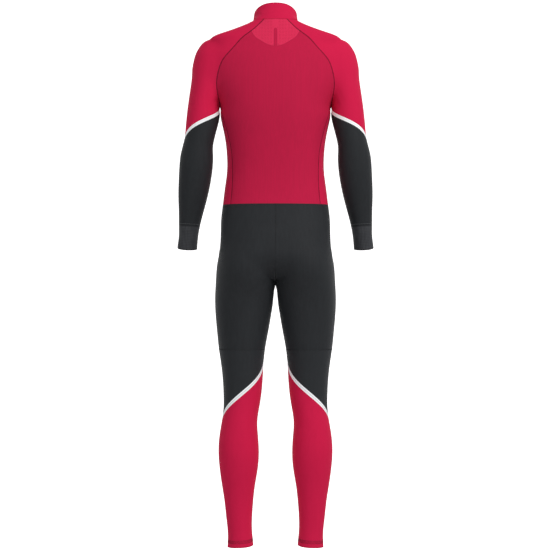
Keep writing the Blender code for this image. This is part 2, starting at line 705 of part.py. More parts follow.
def seat_lines(s):
    """Seat seams, outer side of the hip, and the ring at the crotch."""
    back, front = even(seat_line(1), SEAT_ROWS), even(seat_line(-1), SEAT_ROWS)
    crotch = back[-1]
    back[0], front[0], front[-1] = s["waist_strip"][0], s["waist_zip"][-1], crotch
    turn = np.linspace(0, 2 * math.pi, RING_COLS + 1)
    inner_share = ((1 + np.cos(turn)) / 2)**2
    rise = crotch[2] - CROTCH_DROP - CROTCH_OUTER
    crotch_ring = limb_points("leg", turn, CROTCH_OUTER + rise * inner_share)
    crotch_ring[0] = crotch_ring[-1] = crotch
    outer = s["waist_side"][SIDE_COLS // 2]
    guides = [outer]
    for height in np.linspace(WAIST - LINE_MARGIN, CROTCH_OUTER + LINE_MARGIN, LINE_GUIDES + 2):
        guides.append(cast((INSIDE_BODY, outer[1], height), (1, 0, 0), BODY_REACH))
    guides.append(crotch_ring[RING_COLS // 2])
    return {
        "seat_back": back,
        "seat_front": front,
        "crotch_ring": crotch_ring,
        "hip": even(seam(guides), SEAT_ROWS),
    }


def make_seams():
    """Every line that pieces share, for the wearer's left side, as named points."""
    c = make_corners()
    s = {}
    for seams in (neck_seams, raglan_seams, side_seams, yoke_seams, waist_seams, zip_seams):
        s.update(seams(c))
    s.update(sleeve_lines(c, s))
    s.update(seat_lines(s))
    return s


SEAMS = make_seams()


def mirrored(grid):
    """The same grid on the wearer's right side, still facing out."""
    other = grid[:, ::-1].copy()
    other[..., 0] = -other[..., 0]
    return other


def weld(grids):
    """Points and four-sided cells of several grids joined where they touch."""
    points, cells, known = [], [], {}
    for grid in grids:
        numbers = np.zeros(grid.shape[:2], int)
        for place in np.ndindex(numbers.shape):
            key = tuple(np.round(grid[place] / WELD / 10).astype(int))
            if key not in known:
                known[key] = len(points)
                points.append(grid[place])
            numbers[place] = known[key]
        for row in range(numbers.shape[0] - 1):
            for column in range(numbers.shape[1] - 1):
                corners = [numbers[row, column], numbers[row + 1, column],
                           numbers[row + 1, column + 1], numbers[row, column + 1]]
                kept = [n for i, n in enumerate(corners) if n != corners[i - 1]]
                if len(kept) > 2:
                    cells.append(kept)
    return np.array(points), cells


def border(cells):
    """Edges that have a cell on one side only, in the direction of that cell."""
    sides = {}
    for cell in cells:
        for i, start in enumerate(cell):
            sides[(start, cell[(i + 1) % len(cell)])] = True
    return [edge for edge in sides if (edge[1], edge[0]) not in sides]


def draw_in(points, normals, cells, distance):
    """Move the border of a piece inwards on the form by half a seam gap."""
    pulls = {}
    for start, end in border(cells):
        way = points[end] - points[start]
        for n in (start, end):
            inward = np.cross(normals[n], way)
            pulls.setdefault(n, []).append(inward / np.linalg.norm(inward))
    moved = points.copy()
    for n, ways in pulls.items():
        total = sum(ways) / len(ways)
        length = max(np.linalg.norm(total), SHARP_LIMIT)
        moved[n] = points[n] + total / length**2 * distance
    return moved


def facing_out(points, normals, cells):
    """The cells, turned if they face into the form."""
    score = 0
    for cell in cells:
        a, b, c = points[cell[0]], points[cell[1]], points[cell[2]]
        score += np.dot(np.cross(b - a, c - a), normals[cell[0]])
    return cells if score > 0 else [cell[::-1] for cell in cells]


def edge_faces(points, start, end, count):
    """Two triangles across the wall's edge, split the same way in both pieces at a seam."""
    order = [(point[2], point[1], abs(point[0])) for point in np.round((points[start], points[end]), 7)]
    if order[0] > order[1]:
        return [[end, start, end + count], [start, start + count, end + count]]
    return [[end, start, start + count], [end, start + count, end + count]]


def wall_object(name, grids, material, thick=WALL, rise=None):
    """One piece of cloth: outer side on the form, inner side the wall's thickness below."""
    points, cells = weld(grids)
    normals = outward(points)
    cells = facing_out(points, normals, cells)
    edge = draw_in(points, normals, cells, SEAM_GAP / 2)
    lift = rise(points)[:, None] if rise else 0.0
    outer, inner = edge + normals * lift, edge - normals * thick
    count = len(points)
    faces = list(cells) + [[n + count for n in cell[::-1]] for cell in cells]
    for start, end in border(cells):
        faces += edge_faces(points, start, end, count)
    mesh = bpy.data.meshes.new(name)
    mesh.from_pydata(np.vstack((outer, inner)).tolist(), [], faces)
    mesh.update()
    return place(name, mesh, material)


def place(name, mesh, material, collection=COLLECTION):
    """Object with its material in the suit's collection."""
    thing = bpy.data.objects.new(name, mesh)
    bpy.data.collections[collection].objects.link(thing)
    mesh.materials.append(bpy.data.materials[material])
    return thing


def both_sides(name, grids, material, thick=WALL):
    """A piece on the wearer's left and its mirror image on the right."""
    wall_object(name + "_left", grids, material, thick)
    wall_object(name + "_right", [mirrored(grid) for grid in grids], material, thick)


def whole(grids):
    """Grids of the left half together with their mirror images."""
    return list(grids) + [mirrored(grid) for grid in grids]


def strip_grid(left, right):
    """One column of cells between two lines."""
    return np.stack((left, right), axis=1)


def make_collar():
    """Standing collar from one side of the zip round the back to the other."""
    s = SEAMS
    low = np.vstack((s["neck_strip"], s["neck_back"][1:], s["neck_side"][1:], s["neck_front"][1:]))
    high_line = neck_line(collar_top_at, 0, 180, 3 * DENSE)
    high_zip = on_neck(collar_top_at, ZIP_HALF, -1)
    steps = np.linalg.norm(np.diff(low, axis=0), axis=1)
    run = np.concatenate(([0], np.cumsum(steps))) / steps.sum()
    top = part_of(high_line, high_line[0], high_zip, DENSE)
    top = np.stack([np.interp(run, np.linspace(0, 1, DENSE + 1), top[:, axis]) for axis in range(3)], -1)
    top[1:-1] = settle(top[1:-1])
    left = even(np.linspace(top[0], low[0], DENSE), COLLAR_ROWS)
    right = even(np.linspace(top[-1], low[-1], DENSE), COLLAR_ROWS)
    wall_object("collar", whole([patch(top, low, left, right)]), "red_cloth")


def make_yoke():
    """Light perforated piece below the collar, open at the slit."""
    s = SEAMS
    side = np.vstack((s["slit_over"], s["slit_beside"][1:]))
    main = patch(s["neck_back"], s["yoke_edge"], side, s["raglan_yoke"])
    wall_object("back_yoke", whole([main, strip_grid(s["middle_over"], s["slit_over"])]), "yoke_cloth")


def make_back_panel():
    """Back from the yoke to the waist, with the narrow tongue in the slit."""
    s = SEAMS
    side = np.vstack((s["raglan_back"], s["flank_back"][1:]))
    main = patch(s["yoke_edge"], s["waist_back"], s["slit_low"], side)
    tongue_side = s["slit_beside"].copy()
    tongue_side[0, 0] *= SLIT_ROUND
    middle = np.vstack((s["middle_beside"], s["middle_low"][1:]))
    beside = np.vstack((tongue_side, s["slit_low"][1:]))
    wall_object("back_panel", whole([main, strip_grid(middle, beside)]), "red_cloth")


def make_side_panels():
    """Narrow panels under the arms."""
    s = SEAMS
    top = np.vstack((s["pit_back"], s["pit_front"][1:]))
    both_sides("side_panel", [patch(top, s["waist_side"], s["flank_back"], s["flank_front"])], "red_cloth")


def make_front_panels():
    """Two fronts beside the zip."""
    s = SEAMS
    side = np.vstack((s["raglan_front"], s["flank_front"][1:]))
    both_sides("front_panel", [patch(s["neck_front"], s["waist_front"], side, s["zip_side"])], "red_cloth")


def make_upper_sleeves():
    """Raglan sleeves from the collar to the white strip."""
    s = SEAMS
    half = SLEEVE_COLS // 2
    back_line = np.vstack((s["raglan_yoke"], s["raglan_back"][1:]))
    back = patch(s["neck_side"][:half + 1], s["pit_ring"][:half + 1], back_line, s["shoulder"])
    front = patch(s["neck_side"][half:], s["pit_ring"][half:], s["shoulder"], s["raglan_front"])
    top = np.vstack((s["pit_back"][::-1], s["pit_ring"][1:], s["pit_front"][::-1][1:]))
    low = ring("arm", SLEEVE_STRIP_TOP)
    inner = even(np.linspace(top[0], low[0], DENSE), ARMPIT_ROWS)
    both_sides("sleeve_upper", [back, front, patch(top, low, inner, inner)], "red_cloth")


def make_limb_pieces():
    """Closed rings of the arm and the leg, one below the other."""
    pieces = (
        # name, limb, upper edge, lower edge, rows, material, wall
        ("sleeve_strip", "arm", SLEEVE_STRIP_TOP, SLEEVE_STRIP_LOW, 1, "white_strip", BAND_WALL),
        ("sleeve_lower", "arm", SLEEVE_STRIP_LOW, CUFF_TOP, FOREARM_ROWS, "black_cloth", WALL),
        ("cuff", "arm", CUFF_TOP, CUFF_END, CUFF_ROWS, "cuff_knit", WALL),
        ("knee_panel", "leg", KNEE_TOP, LEG_STRIP_TOP, KNEE_ROWS, "black_cloth", WALL),
        ("leg_strip", "leg", LEG_STRIP_TOP, LEG_STRIP_LOW, 1, "white_strip", BAND_WALL),
        ("lower_leg", "leg", LEG_STRIP_LOW, ANKLE_END, CALF_ROWS, "red_cloth", WALL),
    )
    for name, limb, top, low, rows, material, thick in pieces:
        both_sides(name, [sleeve_tube(limb, top, low, rows)], material, thick)


def make_seat():
    """Seat and thigh of each side, from the waist to the seam above the knee."""
    s = SEAMS
    half = RING_COLS // 2
    waist = np.vstack((s["waist_strip"], s["waist_back"][1:], s["waist_side"][1:],
                       s["waist_front"][1:], s["waist_zip"][1:]))
    back = patch(waist[:half + 1], s["crotch_ring"][:half + 1], s["seat_back"], s["hip"])
    front = patch(waist[half:], s["crotch_ring"][half:], s["hip"], s["seat_front"])
    start = ring("leg", THIGH_START)
    inner = even(np.linspace(s["crotch_ring"][0], start[0], DENSE), CROTCH_ROWS)
    crotch = patch(s["crotch_ring"], start, inner, inner)
    thigh = sleeve_tube("leg", THIGH_START, KNEE_TOP, THIGH_ROWS)
    both_sides("seat_thigh", [back, front, crotch, thigh], "black_cloth")


def zip_lines():
    """Lines down the zip: its middle, the chain's edge, the chain's foot and the tape's edge."""
    s = SEAMS
    high_side = on_neck(collar_top_at, ZIP_HALF, -1)
    high_middle = neck_line(collar_top_at, 170, 180)[-1]
    upper_side = even(np.linspace(high_side, s["zip_side"][0], DENSE), COLLAR_ROWS)
    upper_middle = even(np.linspace(high_middle, s["zip_middle"][0], DENSE), COLLAR_ROWS)
    side = np.vstack((upper_side, s["zip_side"][1:]))
    middle = np.vstack((upper_middle, s["zip_middle"][1:]))
    lines = [settle(middle + (side - middle) * half / ZIP_HALF) for half in (CHAIN_HALF, CHAIN_SHOULDER)]
    return [middle, *lines, side]


def make_zip():
    """Zip tape with its chain as one raised rib, from the collar's edge to the waist."""
    lines = zip_lines()

    def rise(points):
        return np.where(np.abs(points[:, 0]) < (CHAIN_HALF + CHAIN_SHOULDER) / 2, CHAIN_RISE, 0.0)

    grids = [strip_grid(lines[i], lines[i + 1]) for i in range(len(lines) - 1)]
    wall_object("zip_tape", whole(grids), "zip_tape", TAPE_WALL, rise)


def slider_frame():
    """Matrix of the slider: its Z points out of the collar, its Y runs up the zip."""
    lines = zip_lines()
    top, low = lines[0][0], lines[0][COLLAR_ROWS]
    up = Vector(top - low).normalized()
    spot = Vector(top) - up * SLIDER_FROM_TOP
    out = Vector(outward(np.array(spot)))
    out = (out - up * out.dot(up)).normalized()
    across = up.cross(out)
    frame = Matrix((across, up, out)).transposed().to_4x4()
    frame.translation = spot
    return frame


def box_mesh(name, low, high, frame):
    """Box between two corners, given in a frame."""
    mesh = bpy.data.meshes.new(name)
    shape = bmesh.new()
    bmesh.ops.create_cube(shape, size=1.0)
    middle = (Vector(low) + Vector(high)) / 2
    size = Vector(high) - Vector(low)
    bmesh.ops.scale(shape, vec=size, verts=shape.verts)
    bmesh.ops.translate(shape, vec=middle, verts=shape.verts)
    bmesh.ops.transform(shape, matrix=frame, verts=shape.verts)
    shape.to_mesh(mesh)
    shape.free()
    return mesh


def boolean(thing, name, low, high, frame, operation):
    """Add or cut a box."""
    cutter = place(name, box_mesh(name, low, high, frame), "zip_metal", CUTTERS)
    cutter.hide_render = cutter.hide_viewport = True
    step = thing.modifiers.new(name, "BOOLEAN")
    step.operation = operation
    step.solver = "EXACT"
    step.object = cutter


def make_slider():
    """Slider that rides on the chain, with a bridge for the pull tab."""
    frame = slider_frame()
    half_w, half_l = SLIDER["half_width"], SLIDER["half_length"]
    low, high = (-half_w, -half_l, SLIDER_LIP["under"]), (half_w, half_l, SLIDER["over"])
    slider = place("zip_slider", box_mesh("zip_slider", low, high, frame), "zip_metal")
    lip = SLIDER_LIP["inner"]
    boolean(slider, "slider_groove", (-lip, -half_l - CUT_OVERLAP, SLIDER_LIP["under"] - CUT_OVERLAP),
            (lip, half_l + CUT_OVERLAP, SLIDER["under"]), frame, "DIFFERENCE")
    boolean(slider, "slider_bridge",
            (-BRIDGE["half_width"], -BRIDGE["half_length"], SLIDER["over"] - SLIDER_LIP["under"]),
            (BRIDGE["half_width"], BRIDGE["half_length"], BRIDGE["over"]), frame, "UNION")
    boolean(slider, "slider_eye",
            (-BRIDGE["half_width"] - CUT_OVERLAP, -EYE["half_length"], SLIDER["over"]),
            (BRIDGE["half_width"] + CUT_OVERLAP, EYE["half_length"], EYE["over"]), frame, "DIFFERENCE")


def make_pull_tab():
    """Pull tab hanging straight down from the slider's bridge."""
    frame = slider_frame()
    pivot = frame @ Vector((0, 0, PIVOT_OVER))
    hang = Matrix.Translation(pivot)
    half_t, half_w = TAB["thick"] / 2, TAB["half_width"]
    low, high = (-half_w, -half_t, -TAB["length"]), (half_w, half_t, TAB["bar"] / 2)
    tab_mesh = box_mesh("pull_tab", low, high, hang)
    shape = bmesh.new()
    shape.from_mesh(tab_mesh)
    bottom = min(v.co.z for v in shape.verts)
    ends = [e for e in shape.edges if all(v.co.z < bottom + WELD for v in e.verts)
            and abs(e.verts[0].co.x - e.verts[1].co.x) < WELD]
    bmesh.ops.bevel(shape, geom=ends, offset=TAB_ROUND, segments=TAB_ROUND_STEPS, profile=0.5, affect="EDGES")
    shape.to_mesh(tab_mesh)
    shape.free()
    tab = place("pull_tab", tab_mesh, "zip_metal")
    window = TAB_WINDOW["half_width"]
    boolean(tab, "tab_window", (-window, -half_t - CUT_OVERLAP, -TAB["bar"] / 2 - TAB_WINDOW["length"]),
            (window, half_t + CUT_OVERLAP, -TAB["bar"] / 2), hang, "DIFFERENCE")


def start():
    """Empty file with the suit's collections and materials."""
    for thing in list(bpy.data.objects):
        bpy.data.objects.remove(thing)
    for name in (COLLECTION, CUTTERS):
        group = bpy.data.collections.new(name)
        bpy.context.scene.collection.children.link(group)
    for name, (colour, roughness) in MATERIALS.items():
        material = bpy.data.materials.new(name)
        material.use_nodes = True
        shader = material.node_tree.nodes["Principled BSDF"]
        shader.inputs["Base Color"].default_value = colour
        shader.inputs["Roughness"].default_value = roughness


start()
make_collar()
make_yoke()
make_back_panel()
make_side_panels()
make_front_panels()
make_upper_sleeves()
make_limb_pieces()
make_seat()
make_zip()
make_slider()
make_pull_tab()
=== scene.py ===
import math

import bpy
import numpy as np
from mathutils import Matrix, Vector, kdtree


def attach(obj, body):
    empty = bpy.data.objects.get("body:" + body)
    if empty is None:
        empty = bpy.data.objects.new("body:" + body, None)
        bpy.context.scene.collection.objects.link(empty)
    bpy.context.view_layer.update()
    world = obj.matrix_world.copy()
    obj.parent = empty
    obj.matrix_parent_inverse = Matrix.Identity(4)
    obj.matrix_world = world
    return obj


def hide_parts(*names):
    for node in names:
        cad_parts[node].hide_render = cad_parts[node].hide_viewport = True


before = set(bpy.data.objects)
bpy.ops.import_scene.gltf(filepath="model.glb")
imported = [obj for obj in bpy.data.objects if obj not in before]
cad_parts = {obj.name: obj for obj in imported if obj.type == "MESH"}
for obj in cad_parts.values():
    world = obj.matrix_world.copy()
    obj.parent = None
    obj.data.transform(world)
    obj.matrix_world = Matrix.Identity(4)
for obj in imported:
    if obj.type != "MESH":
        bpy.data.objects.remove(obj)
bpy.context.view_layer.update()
print("frame loaded")

# the figure that the cloth is stretched over, as level sections in metres
trunkRows = (  # height, half width, middle y, half depth
    (0.01, 0.034, 0.036, 0.02), (-0.007, 0.058, 0.036, 0.027), (-0.0165, 0.0772, 0.036, 0.032),
    (-0.0275, 0.1052, 0.035, 0.037), (-0.0375, 0.135, 0.033, 0.043), (-0.0475, 0.164, 0.029, 0.051),
    (-0.058, 0.1758, 0.023, 0.061), (-0.073, 0.18, 0.014, 0.076), (-0.09, 0.192, 0.008, 0.089),
    (-0.12, 0.196, 0.004, 0.101), (-0.151, 0.187, 0.001, 0.109), (-0.194, 0.167, -0.001, 0.113),
    (-0.238, 0.1488, -0.002, 0.113), (-0.259, 0.1482, -0.003, 0.112), (-0.281, 0.1445, -0.004, 0.11),
    (-0.324, 0.1357, -0.005, 0.103),
    (-0.367, 0.1312, -0.006, 0.097), (-0.41, 0.1312, -0.007, 0.0935), (-0.454, 0.1368, -0.006, 0.093),
    (-0.497, 0.142, -0.003, 0.096), (-0.54, 0.1468, 0.002, 0.101), (-0.583, 0.1477, 0.008, 0.107),
    (-0.626, 0.15, 0.012, 0.111), (-0.73, 0.15, 0.012, 0.111),
)
legRows = (  # height, inner x, outer x, front y, back y
    (-0.56, 0.0, 0.128, -0.07, 0.085), (-0.605, 0.0, 0.143, -0.085, 0.108),
    (-0.648, 0.0, 0.155, -0.094, 0.122), (-0.691, 0.001, 0.16, -0.095, 0.118),
    (-0.713, 0.0018, 0.1613, -0.095, 0.108), (-0.734, 0.0038, 0.1627, -0.096, 0.098),
    (-0.756, 0.006, 0.1634, -0.097, 0.09), (-0.799, 0.0125, 0.1618, -0.094, 0.08),
    (-0.842, 0.02, 0.158, -0.088, 0.073), (-0.886, 0.028, 0.1534, -0.081, 0.067),
    (-0.929, 0.0325, 0.1472, -0.074, 0.06), (-0.972, 0.035, 0.1426, -0.067, 0.054),
    (-1.015, 0.039, 0.1404, -0.061, 0.051), (-1.045, 0.0438, 0.1404, -0.057, 0.052),
    (-1.08, 0.049, 0.1445, -0.054, 0.058), (-1.123, 0.0473, 0.1512, -0.05, 0.066),
    (-1.166, 0.045, 0.1535, -0.047, 0.068), (-1.21, 0.048, 0.1503, -0.043, 0.062),
    (-1.253, 0.0551, 0.1445, -0.039, 0.052), (-1.296, 0.0602, 0.138, -0.036, 0.044),
    (-1.339, 0.0632, 0.1333, -0.035, 0.04), (-1.382, 0.0632, 0.129, -0.036, 0.038),
    (-1.404, 0.061, 0.1287, -0.038, 0.039), (-1.428, 0.059, 0.1302, -0.04, 0.041),
)
armRows = (  # height, inner x, outer x, middle y, half depth
    (-0.05, 0.126, 0.2155, 0.002, 0.046), (-0.08, 0.126, 0.216, 0.002, 0.049),
    (-0.11, 0.127, 0.219, 0.002, 0.053), (-0.13, 0.127, 0.224, 0.003, 0.056),
    (-0.151, 0.129, 0.2255, 0.004, 0.058), (-0.194, 0.138, 0.2305, 0.007, 0.057),
    (-0.238, 0.1509, 0.2365, 0.01, 0.054), (-0.259, 0.1504, 0.2388, 0.012, 0.0525),
    (-0.281, 0.154, 0.241, 0.013, 0.051),
    (-0.324, 0.165, 0.2455, 0.015, 0.047), (-0.346, 0.1685, 0.251, 0.014, 0.046),
    (-0.367, 0.1682, 0.256, 0.011, 0.047), (-0.389, 0.1688, 0.2587, 0.007, 0.0475),
    (-0.432, 0.1744, 0.2615, -0.002, 0.045), (-0.475, 0.1836, 0.2632, -0.012, 0.04),
    (-0.518, 0.1955, 0.2625, -0.022, 0.034), (-0.562, 0.207, 0.2628, -0.032, 0.0295),
    (-0.583, 0.2107, 0.2634, -0.037, 0.028), (-0.605, 0.2132, 0.2666, -0.042, 0.0275),
    (-0.63, 0.215, 0.269, -0.048, 0.0275),
)
figure = {
    "trunkTop": 0.01, "seatRound": (-0.626, -0.704), "trunkPower": (2.05, 2.4), "powerFrom": (-0.1, -0.25),
    "legTop": -0.56, "legPower": 2.1, "armCap": (-0.116, -0.056), "armPower": 2.05,
    "neckLow": (0.001, -0.036), "neckHigh": (-0.0095, 0.007),  # y and z of its middle
    "neckLowHalf": (0.0635, 0.0625), "neckHighHalf": (0.059, 0.059), "neckPower": 2.1,
    "neckReach": (-0.06, 0.09), "neckBlend": 0.016, "thighsBlend": 0.004,
    "hipBlend": (0.006, 0.02), "hipBlendX": (0.03, 0.11),
    "armBlend": (0.0035, 0.022), "armBlendZ": (-0.235, -0.135),
}


def naturalSpline(rows):  # smooth values of the last columns by the first
    table = np.array(sorted(rows), float)
    knots, values = table[:, 0], table[:, 1:]
    gaps = np.diff(knots)
    system = np.eye(len(knots))
    right = np.zeros_like(values)
    for i in range(1, len(knots) - 1):
        system[i, i - 1:i + 2] = gaps[i - 1], 2 * (gaps[i - 1] + gaps[i]), gaps[i]
        right[i] = 6 * ((values[i + 1] - values[i]) / gaps[i] - (values[i] - values[i - 1]) / gaps[i - 1])
    bends = np.linalg.solve(system, right)

    def at(where):
        where = np.clip(where, knots[0], knots[-1])
        i = np.clip(np.searchsorted(knots, where) - 1, 0, len(gaps) - 1)
        gap = gaps[i]
        after = (where - knots[i]) / gap
        before = 1 - after
        total = before[..., None] * values[i] + after[..., None] * values[i + 1]
        total = total + ((before**3 - before) * gap * gap / 6)[..., None] * bends[i]
        total = total + ((after**3 - after) * gap * gap / 6)[..., None] * bends[i + 1]
        return np.moveaxis(total, -1, 0)

    return at


trunkAt = naturalSpline(trunkRows)
legAt = naturalSpline(legRows)
armAt = naturalSpline(armRows)


def ease(value, start, end):
    t = np.clip((value - start) / (end - start), 0, 1)
    return t * t * (3 - 2 * t)


def lengthOf(vectors):
    return np.linalg.norm(vectors, axis=-1)


def unit(vectors):
    return vectors / np.linalg.norm(vectors, axis=-1, keepdims=True)


def oval(x, y, halfX, halfY, power):
    ratio = (np.abs(x / halfX)**power + np.abs(y / halfY)**power)**(1 / power)
    return (ratio - 1) * np.minimum(halfX, halfY)


def runTogether(a, b, width):
    share = np.maximum(width - np.abs(a - b), 0) / width
    return np.minimum(a, b) - share * share * width / 4


def dome(z, start, end):
    t = np.clip((z - start) / (end - start), 0, 0.9999)
    return np.sqrt(1 - t * t)


def trunkForm(x, y, z):
    halfWidth, middle, halfDepth = trunkAt(z)
    seat = dome(z, *figure["seatRound"])
    low, high = figure["trunkPower"]
    power = low + (high - low) * ease(z, *figure["powerFrom"])
    value = oval(x, y - middle * seat, halfWidth * seat, halfDepth * seat, power)
    return np.maximum(np.maximum(value, z - figure["trunkTop"]), figure["seatRound"][1] - z)


def neckForm(x, y, z):
    low, high = np.array(figure["neckLow"]), np.array(figure["neckHigh"])
    length = lengthOf(high - low)
    lean = (high - low) / length
    along = (y - low[0]) * lean[0] + (z - low[1]) * lean[1]
    across = (y - low[0]) * lean[1] - (z - low[1]) * lean[0]
    share = np.clip(along / length, -1.2, 1.4)
    lowHalf, highHalf = figure["neckLowHalf"], figure["neckHighHalf"]
    halfX = lowHalf[0] + (highHalf[0] - lowHalf[0]) * share
    halfY = lowHalf[1] + (highHalf[1] - lowHalf[1]) * share
    value = oval(x, across, halfX, halfY, figure["neckPower"])
    return np.maximum(np.maximum(value, along - figure["neckReach"][1]), figure["neckReach"][0] - along)


def legForm(x, y, z):
    inner, outer, front, back = legAt(z)
    value = oval(x - (inner + outer) / 2, y - (front + back) / 2, (outer - inner) / 2, (back - front) / 2,
                 figure["legPower"])
    return np.maximum(value, z - figure["legTop"])


def armForm(x, y, z):
    inner, outer, middle, halfDepth = armAt(z)
    cap = dome(z, *figure["armCap"])
    value = oval(x - (inner + outer) / 2, y - middle, (outer - inner) / 2 * cap, halfDepth * cap,
                 figure["armPower"])
    return np.maximum(value, z - figure["armCap"][1])


def form(points):  # below 0 inside the figure
    x, y, z = np.abs(points[..., 0]), points[..., 1], points[..., 2]
    body = runTogether(trunkForm(x, y, z), neckForm(x, y, z), figure["neckBlend"])
    legs = runTogether(legForm(x, y, z), legForm(-x, y, z), figure["thighsBlend"])
    outerBlend, innerBlend = figure["hipBlend"]
    body = runTogether(body, legs, innerBlend + (outerBlend - innerBlend) * ease(x, *figure["hipBlendX"]))
    pit, shoulder = figure["armBlend"]
    return runTogether(body, armForm(x, y, z), pit + (shoulder - pit) * ease(z, *figure["armBlendZ"]))


def slope(points):
    parts = []
    for axis in range(3):
        step = np.zeros(3)
        step[axis] = 0.0002
        parts.append((form(points + step) - form(points - step)) / 0.0004)
    return np.stack(parts, -1)


def outward(points):
    return unit(slope(points))


def settle(points, steps=14):  # moves points the short way onto the form
    for _ in range(steps):
        direction = slope(points)
        size = np.maximum((direction**2).sum(-1, keepdims=True), 0.05)
        points = points - np.clip(form(points)[..., None] * direction / size, -0.01, 0.01)
    return points


def cast(starts, ways, reach):  # first place where a ray crosses the form
    starts, ways = np.broadcast_arrays(np.asarray(starts, float), np.asarray(ways, float))
    flatStart, flatWay = starts.reshape(-1, 3), unit(ways.reshape(-1, 3))
    steps = np.linspace(0, reach, 91)
    values = form(flatStart[:, None] + flatWay[:, None] * steps[None, :, None])
    crossed = np.sign(values[:, 1:]) != np.sign(values[:, :-1])
    first = crossed.argmax(axis=1)
    near, far = steps[first], steps[first + 1]
    side = np.sign(values[np.arange(len(first)), first])
    for _ in range(26):
        middle = (near + far) / 2
        same = np.sign(form(flatStart + flatWay * middle[:, None])) == side
        near, far = np.where(same, middle, near), np.where(same, far, middle)
    return (flatStart + flatWay * far[:, None]).reshape(starts.shape)


# cut of the suit: where its seams and edges lie
fine = 4  # cells of a shell beside each cell of its solid
counts = {key: count * fine for key, count in (  # cells along the edges of the pieces
    ("strip", 1), ("half", 7), ("side", 4), ("sleeve", 16), ("ring", 20), ("yokeOver", 1), ("yokeBeside", 2),
    ("yoke", 3), ("raglan", 11), ("flank", 9), ("collar", 2), ("armpit", 2), ("seat", 9))}
cut = {
    "wall": 0.0012,   # thickness of the cloth that shows
    "gap": -0.00002,  # space at a seam; sewn edges meet, so light doesn't pass between them
    "viewDistance": 4.2, "viewHeight": -0.69,
    "waist": -0.4997, "slitHalf": 0.0039, "slitTop": -0.0213, "zipHalf": 0.008,
    "collarMiddle": -0.003, "backRaglanAngle": 26, "frontRaglanAngle": 148,
    "collarSeam": ((0, -0.007), (45, -0.0055), (90, -0.002), (120, -0.018), (150, -0.042), (180, -0.052)),
    "collarTop": ((0, 0.0404), (45, 0.0358), (90, 0.0172), (135, -0.002), (180, -0.013)),
    "yokeCorner": (0.0656, -0.0286), "yokeEdge": ((0.016, -0.067), (0.0356, -0.0575), (0.0562, -0.0432)),
    "yokeLow": -0.0697,
    "backRaglan": ((0.0926, -0.0494), (0.1202, -0.0802), (0.1445, -0.1107), (0.1544, -0.1388),
                   (0.159, -0.169), (0.1577, -0.189), (0.154, -0.2093)),
    "backArmpit": (0.1506, -0.226), "backHip": (0.1212, -0.4955),
    "flank": ((0.1407, -0.2662), (0.1288, -0.3078), (0.1185, -0.358), (0.1161, -0.4007), (0.1161, -0.4347)),
    "frontRaglan": ((0.062, -0.064), (0.09, -0.088), (0.116, -0.113), (0.138, -0.14),
                    (0.153, -0.168), (0.159, -0.192), (0.1558, -0.213)),
    "frontArmpit": (0.152, -0.227), "frontHip": (0.12, -0.4995), "armpitSpot": (0.1496, 0.004, -0.29),
    "crotchOuter": -0.745, "seatCentre": (0.01, -0.62),
    "slantBow": {"arm": -0.08, "leg": 0.025}, "slantCorner": 0.06, "slitCrowd": 1.8, "slitRound": (0.4, 0.71),
}
reach = {"limb": 0.13, "trunk": 0.2, "far": 0.25, "view": 0.36}  # how far a ray looks for the form
edges = {  # rings cut round the limbs: height at the inner side, at the outer side, drop at the back
    "armpit": (-0.227, -0.252, 0.0), "sleeveStripTop": (-0.24, -0.3235, 0.0),
    "sleeveStripLow": (-0.2502, -0.3342, 0.0), "cuffTop": (-0.5585, -0.553, 0.0),
    "cuffEnd": (-0.619, -0.614, 0.0049), "thighStart": (-0.765, -0.775, 0.0),
    "kneeTop": (-0.8885, -0.8885, 0.0), "legStripTop": (-0.916, -1.073, 0.0),
    "legStripLow": (-0.9295, -1.085, 0.0), "ankleEnd": (-1.4165, -1.4225, 0.0),
}
collarSeamAt = naturalSpline(cut["collarSeam"])
collarTopAt = naturalSpline(cut["collarTop"])


def spots(x, y, z):
    return np.stack(np.broadcast_arrays(x, y, z), -1)


def seenFromBehind(across, height):
    eye = np.array((0.0, cut["viewDistance"], cut["viewHeight"]))
    way = unit(np.array((across, 0.0, height)) - eye)
    return cast(eye + way * (cut["viewDistance"] - 0.2), way, reach["view"])


def seenFromFront(across, height):
    return cast((across, -0.2, height), (0, 1, 0), reach["view"])


def rowsSeen(view, key):
    return [view(*row) for row in cut[key]]


def runOf(line):
    return np.concatenate(([0], np.cumsum(lengthOf(np.diff(line, axis=0)))))


def alongRun(line, run, wanted):
    return np.stack([np.interp(wanted, run, line[:, axis]) for axis in range(3)], -1)


def even(line, cells, crowd=1.0):  # crowd over 1 sets the first points closer together
    run = runOf(line)
    points = alongRun(line, run, run[-1] * np.linspace(0, 1, cells + 1)**crowd)
    points[1:-1] = settle(points[1:-1])
    return points


def straight(start, end, cells):
    return even(np.linspace(start, end, 20), cells)


def seam(guides):
    guides = np.array(guides)
    run = runOf(guides)
    at = naturalSpline(np.column_stack((run, guides)).tolist())
    line = settle(np.moveaxis(at(np.linspace(0, run[-1], 400)), 0, -1))
    line[0], line[-1] = guides[0], guides[-1]
    return line


def partOf(line, start, end, cells, crowd=1.0):
    first, last = lengthOf(line - start).argmin(), lengthOf(line - end).argmin()
    points = even(np.vstack((start, line[first + 1:last], end)), cells, crowd)
    points[0], points[-1] = start, end
    return points


def patch(top, bottom, left, right):  # grid on the form between four edges
    v = np.linspace(0, 1, len(left))[:, None, None]
    u = np.linspace(0, 1, len(top))[None, :, None]
    across = (1 - v) * top[None] + v * bottom[None]
    down = (1 - u) * left[:, None] + u * right[:, None]
    ends = (1 - v) * ((1 - u) * top[0] + u * top[-1]) + v * ((1 - u) * bottom[0] + u * bottom[-1])
    grid = across + down - ends
    grid[1:-1, 1:-1] = settle(grid[1:-1, 1:-1])
    return grid


